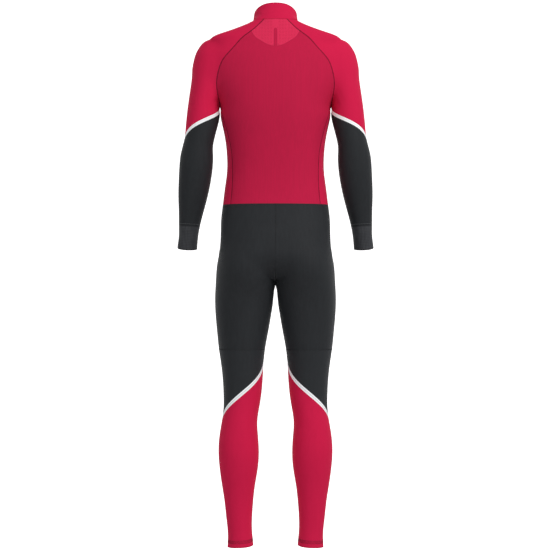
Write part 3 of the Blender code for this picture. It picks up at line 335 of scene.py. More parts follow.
def slant(limb, edge, turn):  # heights round a limb, with soft corners at its inner and outer side
    corner = cut["slantCorner"]
    share = np.where(turn > math.pi, 2 * math.pi - turn, turn) / math.pi
    fromInner, fromOuter = np.minimum(share, corner), np.minimum(1 - share, corner)
    share = share + ((corner - fromInner)**2 - (corner - fromOuter)**2) / (2 * corner)
    share = share + cut["slantBow"][limb] * np.abs(np.sin(turn))
    return edge[0] + (edge[1] - edge[0]) * share - edge[2] * np.sin(turn)


def limbPoints(limb, turn, height):
    if limb == "leg":
        inner, outer, front, back = legAt(height)
        middleY = (front + back) / 2
    else:
        inner, outer, middleY, _ = armAt(height)
    starts = spots((inner + outer) / 2, middleY, height)
    return cast(starts, spots(-np.cos(turn), np.sin(turn), 0.0), reach["limb"])


ringTurn = np.linspace(0, 2 * math.pi, counts["ring"] + 1)


def limbTube(limb, top, bottom, rows):
    share = np.linspace(0, 1, rows * fine + 1)[:, None]
    height = slant(limb, edges[top], ringTurn)[None] * (1 - share) + slant(limb, edges[bottom], ringTurn)[None] * share
    grid = limbPoints(limb, ringTurn, height)
    grid[:, -1] = grid[:, 0]
    return grid


def ringLine(limb, edge):
    line = limbPoints(limb, ringTurn, slant(limb, edge, ringTurn))
    line[-1] = line[0]
    return line


def neckLine(start, end, heightAt=collarSeamAt, cells=400):
    angle = np.linspace(start, end, cells + 1)
    turn = np.radians(angle)
    starts = spots(0.0, cut["collarMiddle"], heightAt(angle)[0])
    return cast(starts, spots(np.sin(turn), np.cos(turn), 0.0), reach["limb"])


def levelLine(height, across, toward):
    return cast(spots(across, 0.0, height), (0, toward, 0), reach["trunk"])


def uprightLine(x, top, bottom, toward):
    line = cast(spots(x, 0.0, np.linspace(top[2], bottom[2], 400)), (0, toward, 0), reach["trunk"])
    line[0], line[-1] = top, bottom
    return line


def onNeck(heightAt, half, toward):
    line = neckLine(0 if toward > 0 else 180, 90, heightAt)
    point = line[np.abs(line[:, 0] - half).argmin()].copy()
    point[0] = half
    return settle(point)


def seatLine(toward):
    middleY, middleZ = cut["seatCentre"]
    heights = np.linspace(cut["waist"], middleZ, 300)[:-1]
    turn = np.linspace(0, math.pi / 2, 300)
    above = cast(spots(0.0, middleY, heights), (0, toward, 0), reach["trunk"])
    ways = spots(0.0, toward * np.cos(turn), -np.sin(turn))
    return np.vstack((above, cast((0, middleY, middleZ), ways, reach["far"])))


def makeSeams():  # every shared line of the wearer's left side
    s = {}
    waist, slit, zipHalf = cut["waist"], cut["slitHalf"], cut["zipHalf"]
    backTop = neckLine(cut["backRaglanAngle"], 90)[0]
    frontTop = neckLine(cut["frontRaglanAngle"], 90)[0]
    backPit, frontPit = seenFromBehind(*cut["backArmpit"]), seenFromFront(*cut["frontArmpit"])
    pit = cast(cut["armpitSpot"], (0, 0, 1), 0.08)
    backHip = levelLine(waist, [seenFromBehind(*cut["backHip"])[0]], 1)[0]
    frontHip = levelLine(waist, [seenFromFront(*cut["frontHip"])[0]], -1)[0]
    yokeCorner = seenFromBehind(*cut["yokeCorner"])
    middleBack = neckLine(0, 10)[0]
    slitBack, zipFront = onNeck(collarSeamAt, slit, 1), onNeck(collarSeamAt, zipHalf, -1)
    around = neckLine(0, 180, cells=1200)
    s["neckStrip"] = straight(middleBack, slitBack, counts["strip"])
    s["neckBack"] = partOf(around, slitBack, backTop, counts["half"])
    s["neckSide"] = partOf(around, backTop, frontTop, counts["sleeve"])
    s["neckFront"] = partOf(around, frontTop, zipFront, counts["half"])
    neckMiddle = neckLine(170, 180)[-1]
    line = seam([backTop, yokeCorner, *rowsSeen(seenFromBehind, "backRaglan"), backPit])
    s["raglanYoke"] = partOf(line, backTop, yokeCorner, counts["yoke"])
    s["raglanBack"] = partOf(line, yokeCorner, backPit, counts["raglan"])
    line = seam([frontTop, *rowsSeen(seenFromFront, "frontRaglan"), frontPit])
    s["raglanFront"] = even(line, counts["yoke"] + counts["raglan"])
    s["flankBack"] = even(seam([backPit, *rowsSeen(seenFromBehind, "flank"), backHip]), counts["flank"])
    s["flankFront"] = even(seam([frontPit, *rowsSeen(seenFromFront, "flank"), frontHip]), counts["flank"])
    halfSide = counts["side"] // 2
    s["pitBack"] = even(seam([backPit, pit]), halfSide)
    s["pitFront"] = even(seam([pit, frontPit]), halfSide)
    lowMiddle, lowSlit = seenFromBehind(0, cut["yokeLow"]), seenFromBehind(slit, cut["yokeLow"])
    lowSlit = settle(np.array((slit, lowSlit[1], lowSlit[2])))
    line = seam([lowSlit, *rowsSeen(seenFromBehind, "yokeEdge"), yokeCorner])
    s["yokeEdge"] = even(line, counts["half"])
    slitMiddle = seenFromBehind(0, cut["slitTop"])
    slitSide = levelLine(slitMiddle[2], [slit], 1)[0]
    line = uprightLine(slit, slitBack, lowSlit, 1)
    s["slitOver"] = partOf(line, slitBack, slitSide, counts["yokeOver"])
    s["slitBeside"] = partOf(line, slitSide, lowSlit, counts["yokeBeside"], cut["slitCrowd"])
    s["slitOver"][-1, 0] *= cut["slitRound"][0]
    s["slitBeside"][:2, 0] *= cut["slitRound"]
    line = uprightLine(0, middleBack, lowMiddle, 1)
    s["middleOver"] = partOf(line, middleBack, slitMiddle, counts["yokeOver"])
    s["middleBeside"] = partOf(line, slitMiddle, lowMiddle, counts["yokeBeside"], cut["slitCrowd"])
    rows = counts["raglan"] + counts["flank"]
    waistMiddle, waistSlit = levelLine(waist, [0, slit], 1)
    s["middleLow"] = even(uprightLine(0, lowMiddle, waistMiddle, 1), rows)
    s["slitLow"] = even(uprightLine(slit, lowSlit, waistSlit, 1), rows)
    s["waistStrip"] = straight(waistMiddle, waistSlit, counts["strip"])
    s["waistBack"] = levelLine(waist, np.linspace(slit, backHip[0], counts["half"] + 1), 1)
    turn = np.linspace(math.atan2(backHip[1], backHip[0]), math.atan2(frontHip[1], frontHip[0]), counts["side"] + 1)
    s["waistSide"] = cast((0, 0, waist), spots(np.cos(turn), np.sin(turn), 0.0), reach["trunk"])
    waistZip = levelLine(waist, [zipHalf, 0], -1)
    s["waistFront"] = levelLine(waist, np.linspace(frontHip[0], zipHalf, counts["half"] + 1), -1)
    s["waistZip"] = straight(waistZip[0], waistZip[1], counts["strip"])
    s["waistBack"][-1] = s["waistSide"][0] = backHip
    s["waistSide"][-1] = s["waistFront"][0] = frontHip
    s["waistBack"][0], s["waistFront"][-1] = waistSlit, waistZip[0]
    s["zipSide"] = even(uprightLine(zipHalf, zipFront, waistZip[0], -1), counts["yoke"] + rows)
    s["zipMiddle"] = even(uprightLine(0, neckMiddle, waistZip[1], -1), counts["yoke"] + rows)
    turn = ringTurn[halfSide:-halfSide]
    s["pitRing"] = limbPoints("arm", turn, slant("arm", edges["armpit"], turn))
    s["pitRing"][0], s["pitRing"][-1] = backPit, frontPit
    half = counts["sleeve"] // 2
    shoulder = [s["neckSide"][half]]
    for height in np.linspace(-0.012, -0.052, 6):
        shoulder.append(settle(cast((0.02, trunkAt(height)[1], height), (1, 0, 0), reach["far"])))
    for height in np.linspace(-0.075, edges["armpit"][1] + 0.03, 6):
        shoulder.append(cast((0.1, 0, height), (1, 0, 0), reach["trunk"]))
    s["shoulder"] = even(seam(shoulder + [s["pitRing"][half]]), counts["yoke"] + counts["raglan"])
    s["seatBack"], s["seatFront"] = even(seatLine(1), counts["seat"]), even(seatLine(-1), counts["seat"])
    crotch = s["seatBack"][-1]
    s["seatFront"][-1] = crotch
    s["seatBack"][0], s["seatFront"][0] = waistMiddle, waistZip[1]
    rise = (crotch[2] - 0.002 - cut["crotchOuter"]) * ((1 + np.cos(ringTurn)) / 2)**2
    s["crotchRing"] = limbPoints("leg", ringTurn, cut["crotchOuter"] + rise)
    s["crotchRing"][0] = s["crotchRing"][-1] = crotch
    outer = s["waistSide"][halfSide]
    hip = [outer]
    for height in np.linspace(waist - 0.03, cut["crotchOuter"] + 0.03, 8):
        hip.append(cast((0.02, outer[1], height), (1, 0, 0), reach["trunk"]))
    s["hip"] = even(seam(hip + [s["crotchRing"][counts["ring"] // 2]]), counts["seat"])
    return s


seams = makeSeams()
print("seams laid")

# soft folds of the worn cloth, each in its own size; they lie alike on both sides
creaseRows = (  # middle x, y, z, way x, y, z, half length, half width, depth (below 0 is a ridge)
    (0.176, -0.03, -0.352, 0.9, -0.3, -0.35, 0.026, 0.0045, 0.0011),
    (0.182, -0.034, -0.371, 0.9, -0.2, -0.2, 0.02, 0.0038, 0.0009),
    (0.188, -0.036, -0.336, 0.9, -0.1, -0.45, 0.017, 0.004, -0.0006),
    (0.16, 0.05, -0.222, 0.5, 0.2, -0.85, 0.022, 0.005, 0.001),
    (0.171, 0.058, -0.205, 0.45, 0.1, -0.9, 0.026, 0.0055, 0.0008),
    (0.142, 0.055, -0.226, -0.5, 0.3, -0.8, 0.024, 0.0048, 0.0008),
    (0.161, -0.034, -0.218, 0.5, -0.2, -0.85, 0.021, 0.005, 0.0009),
    (0.143, -0.052, -0.214, -0.5, -0.3, -0.8, 0.025, 0.0052, 0.0008),
    (0.02, 0.08, -0.716, 0.75, -0.1, 0.62, 0.034, 0.006, 0.0014),
    (0.034, 0.092, -0.735, 0.85, 0.0, 0.4, 0.04, 0.007, 0.0009),
    (0.022, -0.084, -0.7, 0.8, 0.0, 0.58, 0.036, 0.0055, 0.0012),
    (0.03, -0.09, -0.722, 0.9, 0.0, 0.35, 0.03, 0.006, 0.0008),
    (0.086, 0.06, -0.926, 1.0, 0.0, 0.1, 0.03, 0.005, 0.0008),
    (0.078, 0.056, -0.948, 1.0, 0.0, -0.14, 0.023, 0.0042, 0.0007),
    (0.1, 0.057, -0.964, 1.0, 0.0, 0.18, 0.02, 0.0045, -0.0004),
    (0.088, -0.038, -1.392, 1.0, 0.0, 0.08, 0.022, 0.004, 0.0006),
    (0.104, 0.041, -1.376, 1.0, 0.0, -0.12, 0.018, 0.004, 0.0005),
    (0.052, 0.068, -0.486, 1.0, 0.0, 0.12, 0.034, 0.006, 0.0006),
)


def creased(points):  # how far each point is moved in
    total = np.zeros(points.shape[:-1])
    for row in creaseRows:
        middle, way = np.array(row[:3]), unit(np.array(row[3:6]))
        for side in (1, -1):
            offset = points - middle * (side, 1, 1)
            along = offset @ (way * (side, 1, 1))
            across = np.sqrt(np.maximum((offset**2).sum(-1) - along**2, 0))
            total += row[8] * np.exp(-(along / row[6])**2 - (across / row[7])**2)
    return total


def mirrored(grid):
    other = grid[:, ::-1].copy()
    other[..., 0] = -other[..., 0]
    return other


def whole(grids):
    return list(grids) + [mirrored(grid) for grid in grids]


def stripGrid(left, right, cells=1):
    share = np.linspace(0, 1, cells + 1)[None, :, None]
    grid = left[:, None] * (1 - share) + right[:, None] * share
    if cells > 1:
        grid[:, 1:-1] = settle(grid[:, 1:-1])
    return grid


def gridLengths(grid):  # lengths along the rows and down the columns, for the weave
    across = np.pad(np.cumsum(lengthOf(np.diff(grid, axis=1)), axis=1), ((0, 0), (1, 0)))
    down = np.pad(np.cumsum(lengthOf(np.diff(grid, axis=0)), axis=0), ((1, 0), (0, 0)))
    middle = across.shape[1] // 2
    return across - across[:, middle:middle + 1], np.broadcast_to(down.mean(axis=1, keepdims=True), down.shape)


def weld(grids):
    points, cells, cellUvs, known = [], [], [], {}
    for grid in grids:
        numbers = np.zeros(grid.shape[:2], int)
        keys = np.round(grid / 1e-5).astype(np.int64)
        for place in np.ndindex(numbers.shape):
            key = tuple(keys[place])
            if key not in known:
                known[key] = len(points)
                points.append(grid[place])
            numbers[place] = known[key]
        across, down = gridLengths(grid)
        for row in range(numbers.shape[0] - 1):
            for column in range(numbers.shape[1] - 1):
                places = [(row, column), (row + 1, column), (row + 1, column + 1), (row, column + 1)]
                corners = [numbers[place] for place in places]
                kept = [i for i in range(4) if corners[i] != corners[i - 1]]
                if len(kept) > 2:
                    cells.append([corners[i] for i in kept])
                    cellUvs.append([(across[places[i]], down[places[i]]) for i in kept])
    return np.array(points), cells, cellUvs


def border(cells):
    sides = {(cell[i], cell[(i + 1) % len(cell)]) for cell in cells for i in range(len(cell))}
    return [edge for edge in sides if (edge[1], edge[0]) not in sides]


def drawIn(points, normals, rim, distance):
    pulls = {}
    for start, end in rim:
        way = points[end] - points[start]
        for n in (start, end):
            pulls.setdefault(n, []).append(unit(np.cross(normals[n], way)))
    moved = points.copy()
    for n, ways in pulls.items():
        total = sum(ways) / len(ways)
        moved[n] = points[n] + total / max(lengthOf(total), 0.35)**2 * distance
    return moved


def treeOf(points):
    tree = kdtree.KDTree(len(points))
    for i, point in enumerate(points):
        tree.insert(Vector(point), i)
    tree.balance()
    return tree


def bothSidesOf(lines):
    dense = []
    for line in lines:
        run = runOf(line)
        points = alongRun(line, run, np.arange(0, run[-1], 0.0015))
        dense += [points, points * (-1, 1, 1)]
    return np.vstack(dense)


def innerLine(limb, top, bottom, cells):  # lengthwise seam that closes a tube of cloth
    return limbPoints(limb, np.zeros(cells), np.linspace(edges[top][0], edges[bottom][0], cells))


def sewn(*names):
    return [seams[name] for name in names]


darkNames = ("raglanYoke", "raglanBack", "raglanFront", "flankBack", "flankFront", "pitBack", "pitFront")
neckNames = ("neckStrip", "neckBack", "neckSide", "neckFront")
waistNames = ("waistStrip", "waistBack", "waistSide", "waistFront", "waistZip")
innerArm = innerLine("arm", "armpit", "sleeveStripTop", 20)
innerForearm = innerLine("arm", "sleeveStripLow", "cuffEnd", 120)
innerThigh = innerLine("leg", "thighStart", "legStripTop", 60)
innerShin = innerLine("leg", "legStripLow", "ankleEnd", 180)
ringLines = {key: ringLine(limb, edges[key]) for key, limb in (
    ("kneeTop", "leg"), ("cuffTop", "arm"), ("cuffEnd", "arm"), ("ankleEnd", "leg"))}
darkLines = sewn(*darkNames) + [innerArm, innerShin]
joinLines = sewn(*neckNames, *waistNames, "yokeEdge", "slitBeside", "seatBack", "seatFront")
joinLines += [ringLines["kneeTop"], ringLines["cuffTop"], innerForearm, innerThigh]
hemLines = [ringLines["cuffEnd"], ringLines["ankleEnd"], neckLine(0, 180, collarTopAt)]
seamReach = 0.02  # how far from a seam its distance is kept
seamTrees = {"seamDistance": treeOf(bothSidesOf(darkLines)), "joinDistance": treeOf(bothSidesOf(joinLines)),
             "hemDistance": treeOf(bothSidesOf(hemLines))}


def addObject(name, data):
    made = bpy.data.objects.new(name, data)
    bpy.context.scene.collection.objects.link(made)
    return made


def makeShell(name, grids, look):
    points, cells, cellUvs = weld(grids)
    normals = outward(points)
    first = cells[len(cells) // 2]
    facing = np.dot(np.cross(points[first[1]] - points[first[0]], points[first[2]] - points[first[0]]),
                    normals[first[0]])
    if facing < 0:
        cells = [cell[::-1] for cell in cells]
        cellUvs = [uvs[::-1] for uvs in cellUvs]
    rim = border(cells)
    moved = drawIn(points, normals, rim, cut["gap"] / 2)
    moved = moved - normals * creased(points)[:, None]
    outer, inner = moved + normals * look.get("lift", 0.0), moved - normals * look.get("wall", cut["wall"])
    count = len(points)
    faces = list(cells) + [[n + count for n in cell[::-1]] for cell in cells]
    faces += [[end, start, start + count, end + count] for start, end in rim]
    mesh = bpy.data.meshes.new(name)
    mesh.from_pydata(np.vstack((outer, inner)).tolist(), [], faces)
    for key, tree in seamTrees.items():
        distance = [min(tree.find(Vector(point))[2], seamReach) for point in points]
        layer = mesh.attributes.new(key, "FLOAT", "POINT")
        layer.data.foreach_set("value", distance + [seamReach] * count)
    flat = [value for uvs in cellUvs for pair in uvs for value in pair]
    flat += [value for uvs in cellUvs for pair in uvs[::-1] for value in pair]
    flat += [0.0] * (len(mesh.loops) * 2 - len(flat))
    mesh.uv_layers.new(name="cloth").data.foreach_set("uv", flat)
    mesh.polygons.foreach_set("use_smooth", [True] * len(mesh.polygons))
    mesh.set_sharp_from_angle(angle=math.radians(60))
    mesh.materials.append(bpy.data.materials[look["material"]])
    return addObject(name, mesh)


def addCloth(name, node, grids, look):
    shell = makeShell(name, grids, look)
    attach(shell, "suit")
    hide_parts(node)


def addPair(name, node, grids, look):
    addCloth(name + "Left", node + "_left", grids, look)
    addCloth(name + "Right", node + "_right", [mirrored(grid) for grid in grids], look)


def setInputs(tree, made, values):
    for key, value in values.items():
        if isinstance(value, bpy.types.NodeSocket):
            tree.links.new(value, made.inputs[key])
        else:
            made.inputs[key].default_value = value


def addNode(tree, kind, values=None, **settings):  # its outputs
    made = tree.nodes.new(kind)
    for key, value in settings.items():
        setattr(made, key, value)
    setInputs(tree, made, values or {})
    return made.outputs


def mathNode(tree, operation, a, b=0.0):
    return addNode(tree, "ShaderNodeMath", {0: a, 1: b}, operation=operation)[0]


def noiseNode(tree, place, scale, detail=2.0, roughness=0.5):
    return addNode(tree, "ShaderNodeTexNoise", {"Vector": place, "Scale": scale, "Detail": detail,
                                                "Roughness": roughness})[0]


def rangeNode(tree, value, low, high, lowShare, highShare):
    return addNode(tree, "ShaderNodeMapRange", {0: value, 1: low, 2: high, 3: lowShare, 4: highShare})[0]


def mixColour(tree, share, a, b):
    return addNode(tree, "ShaderNodeMix", {0: share, 6: a, 7: b}, data_type="RGBA")[2]


def newMaterial(name):
    material = bpy.data.materials.new(name)
    material.use_nodes = True
    tree = material.node_tree
    return material, tree, tree.nodes["Principled BSDF"]


def waves(tree, part, spacing, share):
    turn = mathNode(tree, "MULTIPLY", part, 2 * math.pi / spacing)
    return mathNode(tree, "MULTIPLY", mathNode(tree, "SINE", turn), share)


def clothMaterial(name, look):
    _, tree, shader = newMaterial(name)
    place = addNode(tree, "ShaderNodeTexCoord")["Object"]
    uv = addNode(tree, "ShaderNodeUVMap", uv_map="cloth")[0]
    parts = addNode(tree, "ShaderNodeSeparateXYZ", {0: uv})
    streaks = noiseNode(tree, addNode(tree, "ShaderNodeMapping", {0: place, 3: look["streakScale"]})[0], 1.0, 3.0, 0.6)
    blotches, fibres = noiseNode(tree, place, 9.0), noiseNode(tree, uv, 900.0)
    knit = mathNode(tree, "ADD", waves(tree, parts[0], look["wale"], 0.6), waves(tree, parts[1], look["course"], 0.4))
    colour, streak, threadAndShade = look["colour"], look["streakColour"], look["threadColour"]
    for value, low, high, lowShare, highShare, other in (
            (streaks, 0.35, 0.65, 0.0, look["streak"], streak), (blotches, 0.4, 0.7, 0.0, look["blotch"], streak),
            (knit, -1.0, 1.0, look["knitDark"], 0.0, threadAndShade), (fibres, 0.3, 0.7, 0.0, look["fibre"], streak)):
        colour = mixColour(tree, rangeNode(tree, value, low, high, lowShare, highShare), colour, other)
    height = mathNode(tree, "ADD", knit, mathNode(tree, "MULTIPLY", fibres, 0.6))
    # the cloth darkens toward the seams and joins along their thread lines, and toward the free edges of collar top,
    # cuffs and ankles, which is painted shade along the rims
    for key, line in (("seamDistance", look["seam"]), ("joinDistance", look["join"]), ("hemDistance", look["hemShade"])):
        distance = addNode(tree, "ShaderNodeAttribute", attribute_name=key)["Fac"]
        tone = rangeNode(tree, distance, line["width"] * 0.5, line["width"], line["share"], 0.0)
        colour = mixColour(tree, tone, colour, threadAndShade)
        height = mathNode(tree, "ADD", height, rangeNode(tree, distance, 0.0, line["width"], -line["dip"], 0.0))
    bump = addNode(tree, "ShaderNodeBump", {"Height": height, "Strength": look["bump"], "Distance": 0.0002})[0]
    setInputs(tree, shader, {
        "Base Color": colour, "Normal": bump, "Roughness": look["roughness"], "Specular IOR Level": look["specular"],
        "Sheen Weight": look["sheen"], "Sheen Roughness": look["sheenRoughness"], "Sheen Tint": look["sheenTint"],
        "Emission Color": look["colour"], "Emission Strength": look["glow"]})  # painted glow: the white strips give off light of their own, standing in for the brightness of their optical whitener


seamLine = {"width": 0.0018, "share": 0.8, "dip": 3.0}  # line of thread and the groove along it
joinLine = {"width": 0.0022, "share": 0.16, "dip": 2.0}
# painted shade: darker toward the free edges of collar top, cuffs and ankles, with a shallow groove there
hemShadeLine = {"width": 0.0035, "share": 0.25, "dip": 1.5}
redCloth = {
    "colour": (0.7, 0.015, 0.076, 1), "streakColour": (0.54, 0.011, 0.056, 1),
    "threadColour": (0.11, 0.004, 0.014, 1), "streakScale": (150.0, 150.0, 5.0), "streak": 0.1, "blotch": 0.08,
    "wale": 0.0009, "course": 0.0012, "knitDark": 0.06, "fibre": 0.1, "seam": seamLine, "join": joinLine,
    "hemShade": hemShadeLine, "glow": 0.0, "bump": 0.25, "roughness": 0.8, "specular": 0.06, "sheen": 0.02,
    "sheenRoughness": 0.4, "sheenTint": (1.0, 0.45, 0.55, 1),
}
backCloth = dict(redCloth, colour=(0.595, 0.0148, 0.068, 1), streakColour=(0.45, 0.015, 0.054, 1), streak=0.3,
                 streakScale=(260.0, 260.0, 4.0))
yokeCloth = dict(redCloth, colour=(0.79, 0.033, 0.106, 1), streakColour=(0.64, 0.024, 0.084, 1), bump=0.3)
blackCloth = dict(
    redCloth, colour=(0.02, 0.022, 0.025, 1), streakColour=(0.029, 0.032, 0.036, 1),
    threadColour=(0.008, 0.008, 0.009, 1), streak=0.3, blotch=0.15, sheen=0.04, sheenTint=(0.8, 0.85, 0.9, 1),
    roughness=0.7, specular=0.2, seam=dict(seamLine, share=0.65), join=dict(joinLine, share=0.04, dip=0.6))
kneeCloth = dict(blackCloth, colour=(0.0235, 0.026, 0.0295, 1))
# on the cuff the dark band under its top join is a painted shadow below the folded ridge, and its dark end rim is
# painted shade
cuffCloth = dict(blackCloth, colour=(0.073, 0.076, 0.085, 1), wale=0.004, course=0.004, knitDark=0.6,
                 bump=0.9, hemShade=dict(hemShadeLine, share=0.85), join=dict(joinLine, share=0.6))
# the strips glow a little: painted light that makes them brighter than white cloth under these lamps
stripCloth = dict(
    redCloth, colour=(0.94, 0.955, 0.97, 1), streakColour=(0.8, 0.83, 0.86, 1),
    threadColour=(0.4, 0.42, 0.46, 1), streak=0.15, blotch=0.1, wale=0.003, course=0.006, knitDark=0.3,
    glow=0.16, seam=dict(seamLine, share=0.0), join=dict(joinLine, share=0.0), sheen=0.0, bump=0.5,
    sheenTint=(1, 1, 1, 1))
tapeCloth = dict(blackCloth, colour=(0.02, 0.02, 0.022, 1), wale=0.0006, course=0.0006, knitDark=0.4, bump=0.6)
for clothName, clothLook in (("redCloth", redCloth), ("backCloth", backCloth), ("yokeCloth", yokeCloth),
                             ("blackCloth", blackCloth), ("kneeCloth", kneeCloth), ("cuffCloth", cuffCloth),
                             ("stripCloth", stripCloth), ("tapeCloth", tapeCloth)):
    clothMaterial(clothName, clothLook)


def plainMaterial(name, colour, roughness, grain=0.0, metallic=0.0, glow=0.0):
    material, tree, shader = newMaterial(name)
    noise = noiseNode(tree, addNode(tree, "ShaderNodeTexCoord")["Object"], 1400.0)
    darker = tuple(value * 0.5 for value in colour[:3]) + (1,)
    setInputs(tree, shader, {
        "Base Color": mixColour(tree, rangeNode(tree, noise, 0.3, 0.7, 0.0, grain), colour, darker),
        "Roughness": roughness, "Metallic": metallic, "Specular IOR Level": 0.2,
        "Emission Color": (1, 1, 1, 1), "Emission Strength": glow})
    return material


for threadName, threadColour in (
        ("darkThread", (0.1, 0.004, 0.013, 1)), ("redThread", (0.5, 0.008, 0.034, 1)),
        ("blackThread", (0.021, 0.022, 0.024, 1)), ("greyThread", (0.13, 0.134, 0.142, 1)),
        ("waistThread", (0.07, 0.016, 0.02, 1)), ("stripThread", (0.5, 0.48, 0.52, 1)),
        ("hemThread", (0.15, 0.01, 0.026, 1))):
    plainMaterial(threadName, threadColour, 0.7, 0.4)
plainMaterial("zipTooth", (0.045, 0.045, 0.048, 1), 0.35, 0.3)
plainMaterial("zipPaint", (0.085, 0.085, 0.09, 1), 0.3, 0.3, metallic=0.6)
# painted shade: dark red discs stand for the yoke's perforations, darker where the inside shows through
plainMaterial("holeDark", (0.47, 0.01, 0.04, 1), 0.9, 0.3)
print("materials made")

# cloth pieces; flat is the width and length of the cut
red, black = {"material": "redCloth", "slot": "red_cloth"}, {"material": "blackCloth", "slot": "black_cloth"}
strip = {"material": "stripCloth", "slot": "white_strip"}
collar = dict(red, wall=0.0016, flat=(0.4, 0.052))
yoke = {"material": "yokeCloth", "slot": "yoke_cloth", "flat": (0.156, 0.08)}
backPanel = dict(red, material="backCloth", flat=(0.38, 0.5))
sidePanel = dict(red, flat=(0.13, 0.28))
frontPanel = dict(red, flat=(0.2, 0.54))
upperSleeve = dict(red, flat=(0.34, 0.37))
seatThigh = dict(black, flat=(0.55, 0.4))
limbPieces = (  # name, node, limb, upper edge, lower edge, rows, look
    ("sleeveStrip", "sleeve_strip", "arm", "sleeveStripTop", "sleeveStripLow", 1, dict(strip, flat=(0.34, 0.011))),
    ("lowerSleeve", "sleeve_lower", "arm", "sleeveStripLow", "cuffTop", 9, dict(black, flat=(0.34, 0.3))),
    ("cuff", "cuff", "arm", "cuffTop", "cuffEnd", 3,
     {"material": "cuffCloth", "slot": "cuff_knit", "flat": (0.18, 0.065)}),
    ("kneePanel", "knee_panel", "leg", "kneeTop", "legStripTop", 4,
     dict(black, material="kneeCloth", flat=(0.45, 0.17))),
    ("legStrip", "leg_strip", "leg", "legStripTop", "legStripLow", 1, dict(strip, flat=(0.45, 0.013))),
    ("lowerLeg", "lower_leg", "leg", "legStripLow", "ankleEnd", 14, dict(red, flat=(0.44, 0.47))),
)
zipTape = {"material": "tapeCloth", "slot": "zip_tape", "wall": 0.001, "lift": 0.0002, "share": 0.98,
           "flat": (0.017, 0.5)}


def chain(*names):  # seams that follow each other, as one line
    return np.vstack([seams[names[0]]] + [seams[name][1:] for name in names[1:]])


def collarGrid():
    low = chain("neckStrip", "neckBack", "neckSide", "neckFront")
    high = neckLine(0, 180, collarTopAt, 1200)
    top = partOf(high, high[0], onNeck(collarTopAt, cut["zipHalf"], -1), 600)
    top = alongRun(top, np.linspace(0, 1, 601), runOf(low) / runOf(low)[-1])
    top[1:-1] = settle(top[1:-1])
    return patch(top, low, straight(top[0], low[0], counts["collar"]), straight(top[-1], low[-1], counts["collar"]))


def zipGrid():
    grids = []
    for top, key in ((onNeck(collarTopAt, cut["zipHalf"], -1), "zipSide"),
                     (neckLine(170, 180, collarTopAt)[-1], "zipMiddle")):
        grids.append(np.vstack((straight(top, seams[key][0], counts["collar"]), seams[key][1:])))
    return stripGrid(grids[1], grids[0], 3), grids[1]


def makeCloth():
    s = seams
    addCloth("collarBand", "collar", whole([collarGrid()]), collar)
    main = patch(s["neckBack"], s["yokeEdge"], chain("slitOver", "slitBeside"), s["raglanYoke"])
    addCloth("yoke", "back_yoke", whole([main, stripGrid(s["middleOver"], s["slitOver"], fine)]), yoke)
    main = patch(s["yokeEdge"], s["waistBack"], s["slitLow"], chain("raglanBack", "flankBack"))
    tongue = stripGrid(chain("middleBeside", "middleLow"), chain("slitBeside", "slitLow"), fine)
    addCloth("backPanel", "back_panel", whole([main, tongue]), backPanel)
    main = patch(chain("pitBack", "pitFront"), s["waistSide"], s["flankBack"], s["flankFront"])
    addPair("sidePanel", "side_panel", [main], sidePanel)
    main = patch(s["neckFront"], s["waistFront"], chain("raglanFront", "flankFront"), s["zipSide"])
    addPair("frontPanel", "front_panel", [main], frontPanel)
    half = counts["sleeve"] // 2
    back = patch(s["neckSide"][:half + 1], s["pitRing"][:half + 1], chain("raglanYoke", "raglanBack"), s["shoulder"])
    front = patch(s["neckSide"][half:], s["pitRing"][half:], s["shoulder"], s["raglanFront"])
    top = np.vstack((s["pitBack"][::-1], s["pitRing"][1:], s["pitFront"][::-1][1:]))
    low = ringLine("arm", edges["sleeveStripTop"])
    inner = straight(top[0], low[0], counts["armpit"])
    addPair("upperSleeve", "sleeve_upper", [back, front, patch(top, low, inner, inner)], upperSleeve)
    print("upper pieces made")
    for name, node, limb, upper, lower, rows, look in limbPieces:
        addPair(name, node, [limbTube(limb, upper, lower, rows)], look)
    half = counts["ring"] // 2
    waist = chain(*waistNames)
    back = patch(waist[:half + 1], s["crotchRing"][:half + 1], s["seatBack"], s["hip"])
    front = patch(waist[half:], s["crotchRing"][half:], s["hip"], s["seatFront"])
    start = ringLine("leg", edges["thighStart"])
    inner = straight(s["crotchRing"][0], start[0], fine)
    thigh = limbTube("leg", "thighStart", "kneeTop", 4)
    addPair("seatThigh", "seat_thigh", [back, front, patch(s["crotchRing"], start, inner, inner), thigh], seatThigh)


makeCloth()
print("cloth made")
zipPart, zipLine = zipGrid()
addCloth("zipTape", "zip_tape", whole([zipPart]), zipTape)


def polyline(name, lines):  # edges with the outward direction at every point
    points = np.vstack(lines)
    sides, start = [], 0
    for line in lines:
        sides += [(start + i, start + i + 1) for i in range(len(line) - 1)]
        start += len(line)
    mesh = bpy.data.meshes.new(name)
    mesh.from_pydata(points.tolist(), sides, [])
    layer = mesh.attributes.new("outward", "FLOAT_VECTOR", "POINT")
    layer.data.foreach_set("vector", outward(points).ravel())
    return addObject(name, mesh)


stitchKeys = ("Pitch", "Length", "Width", "Height", "Lean")


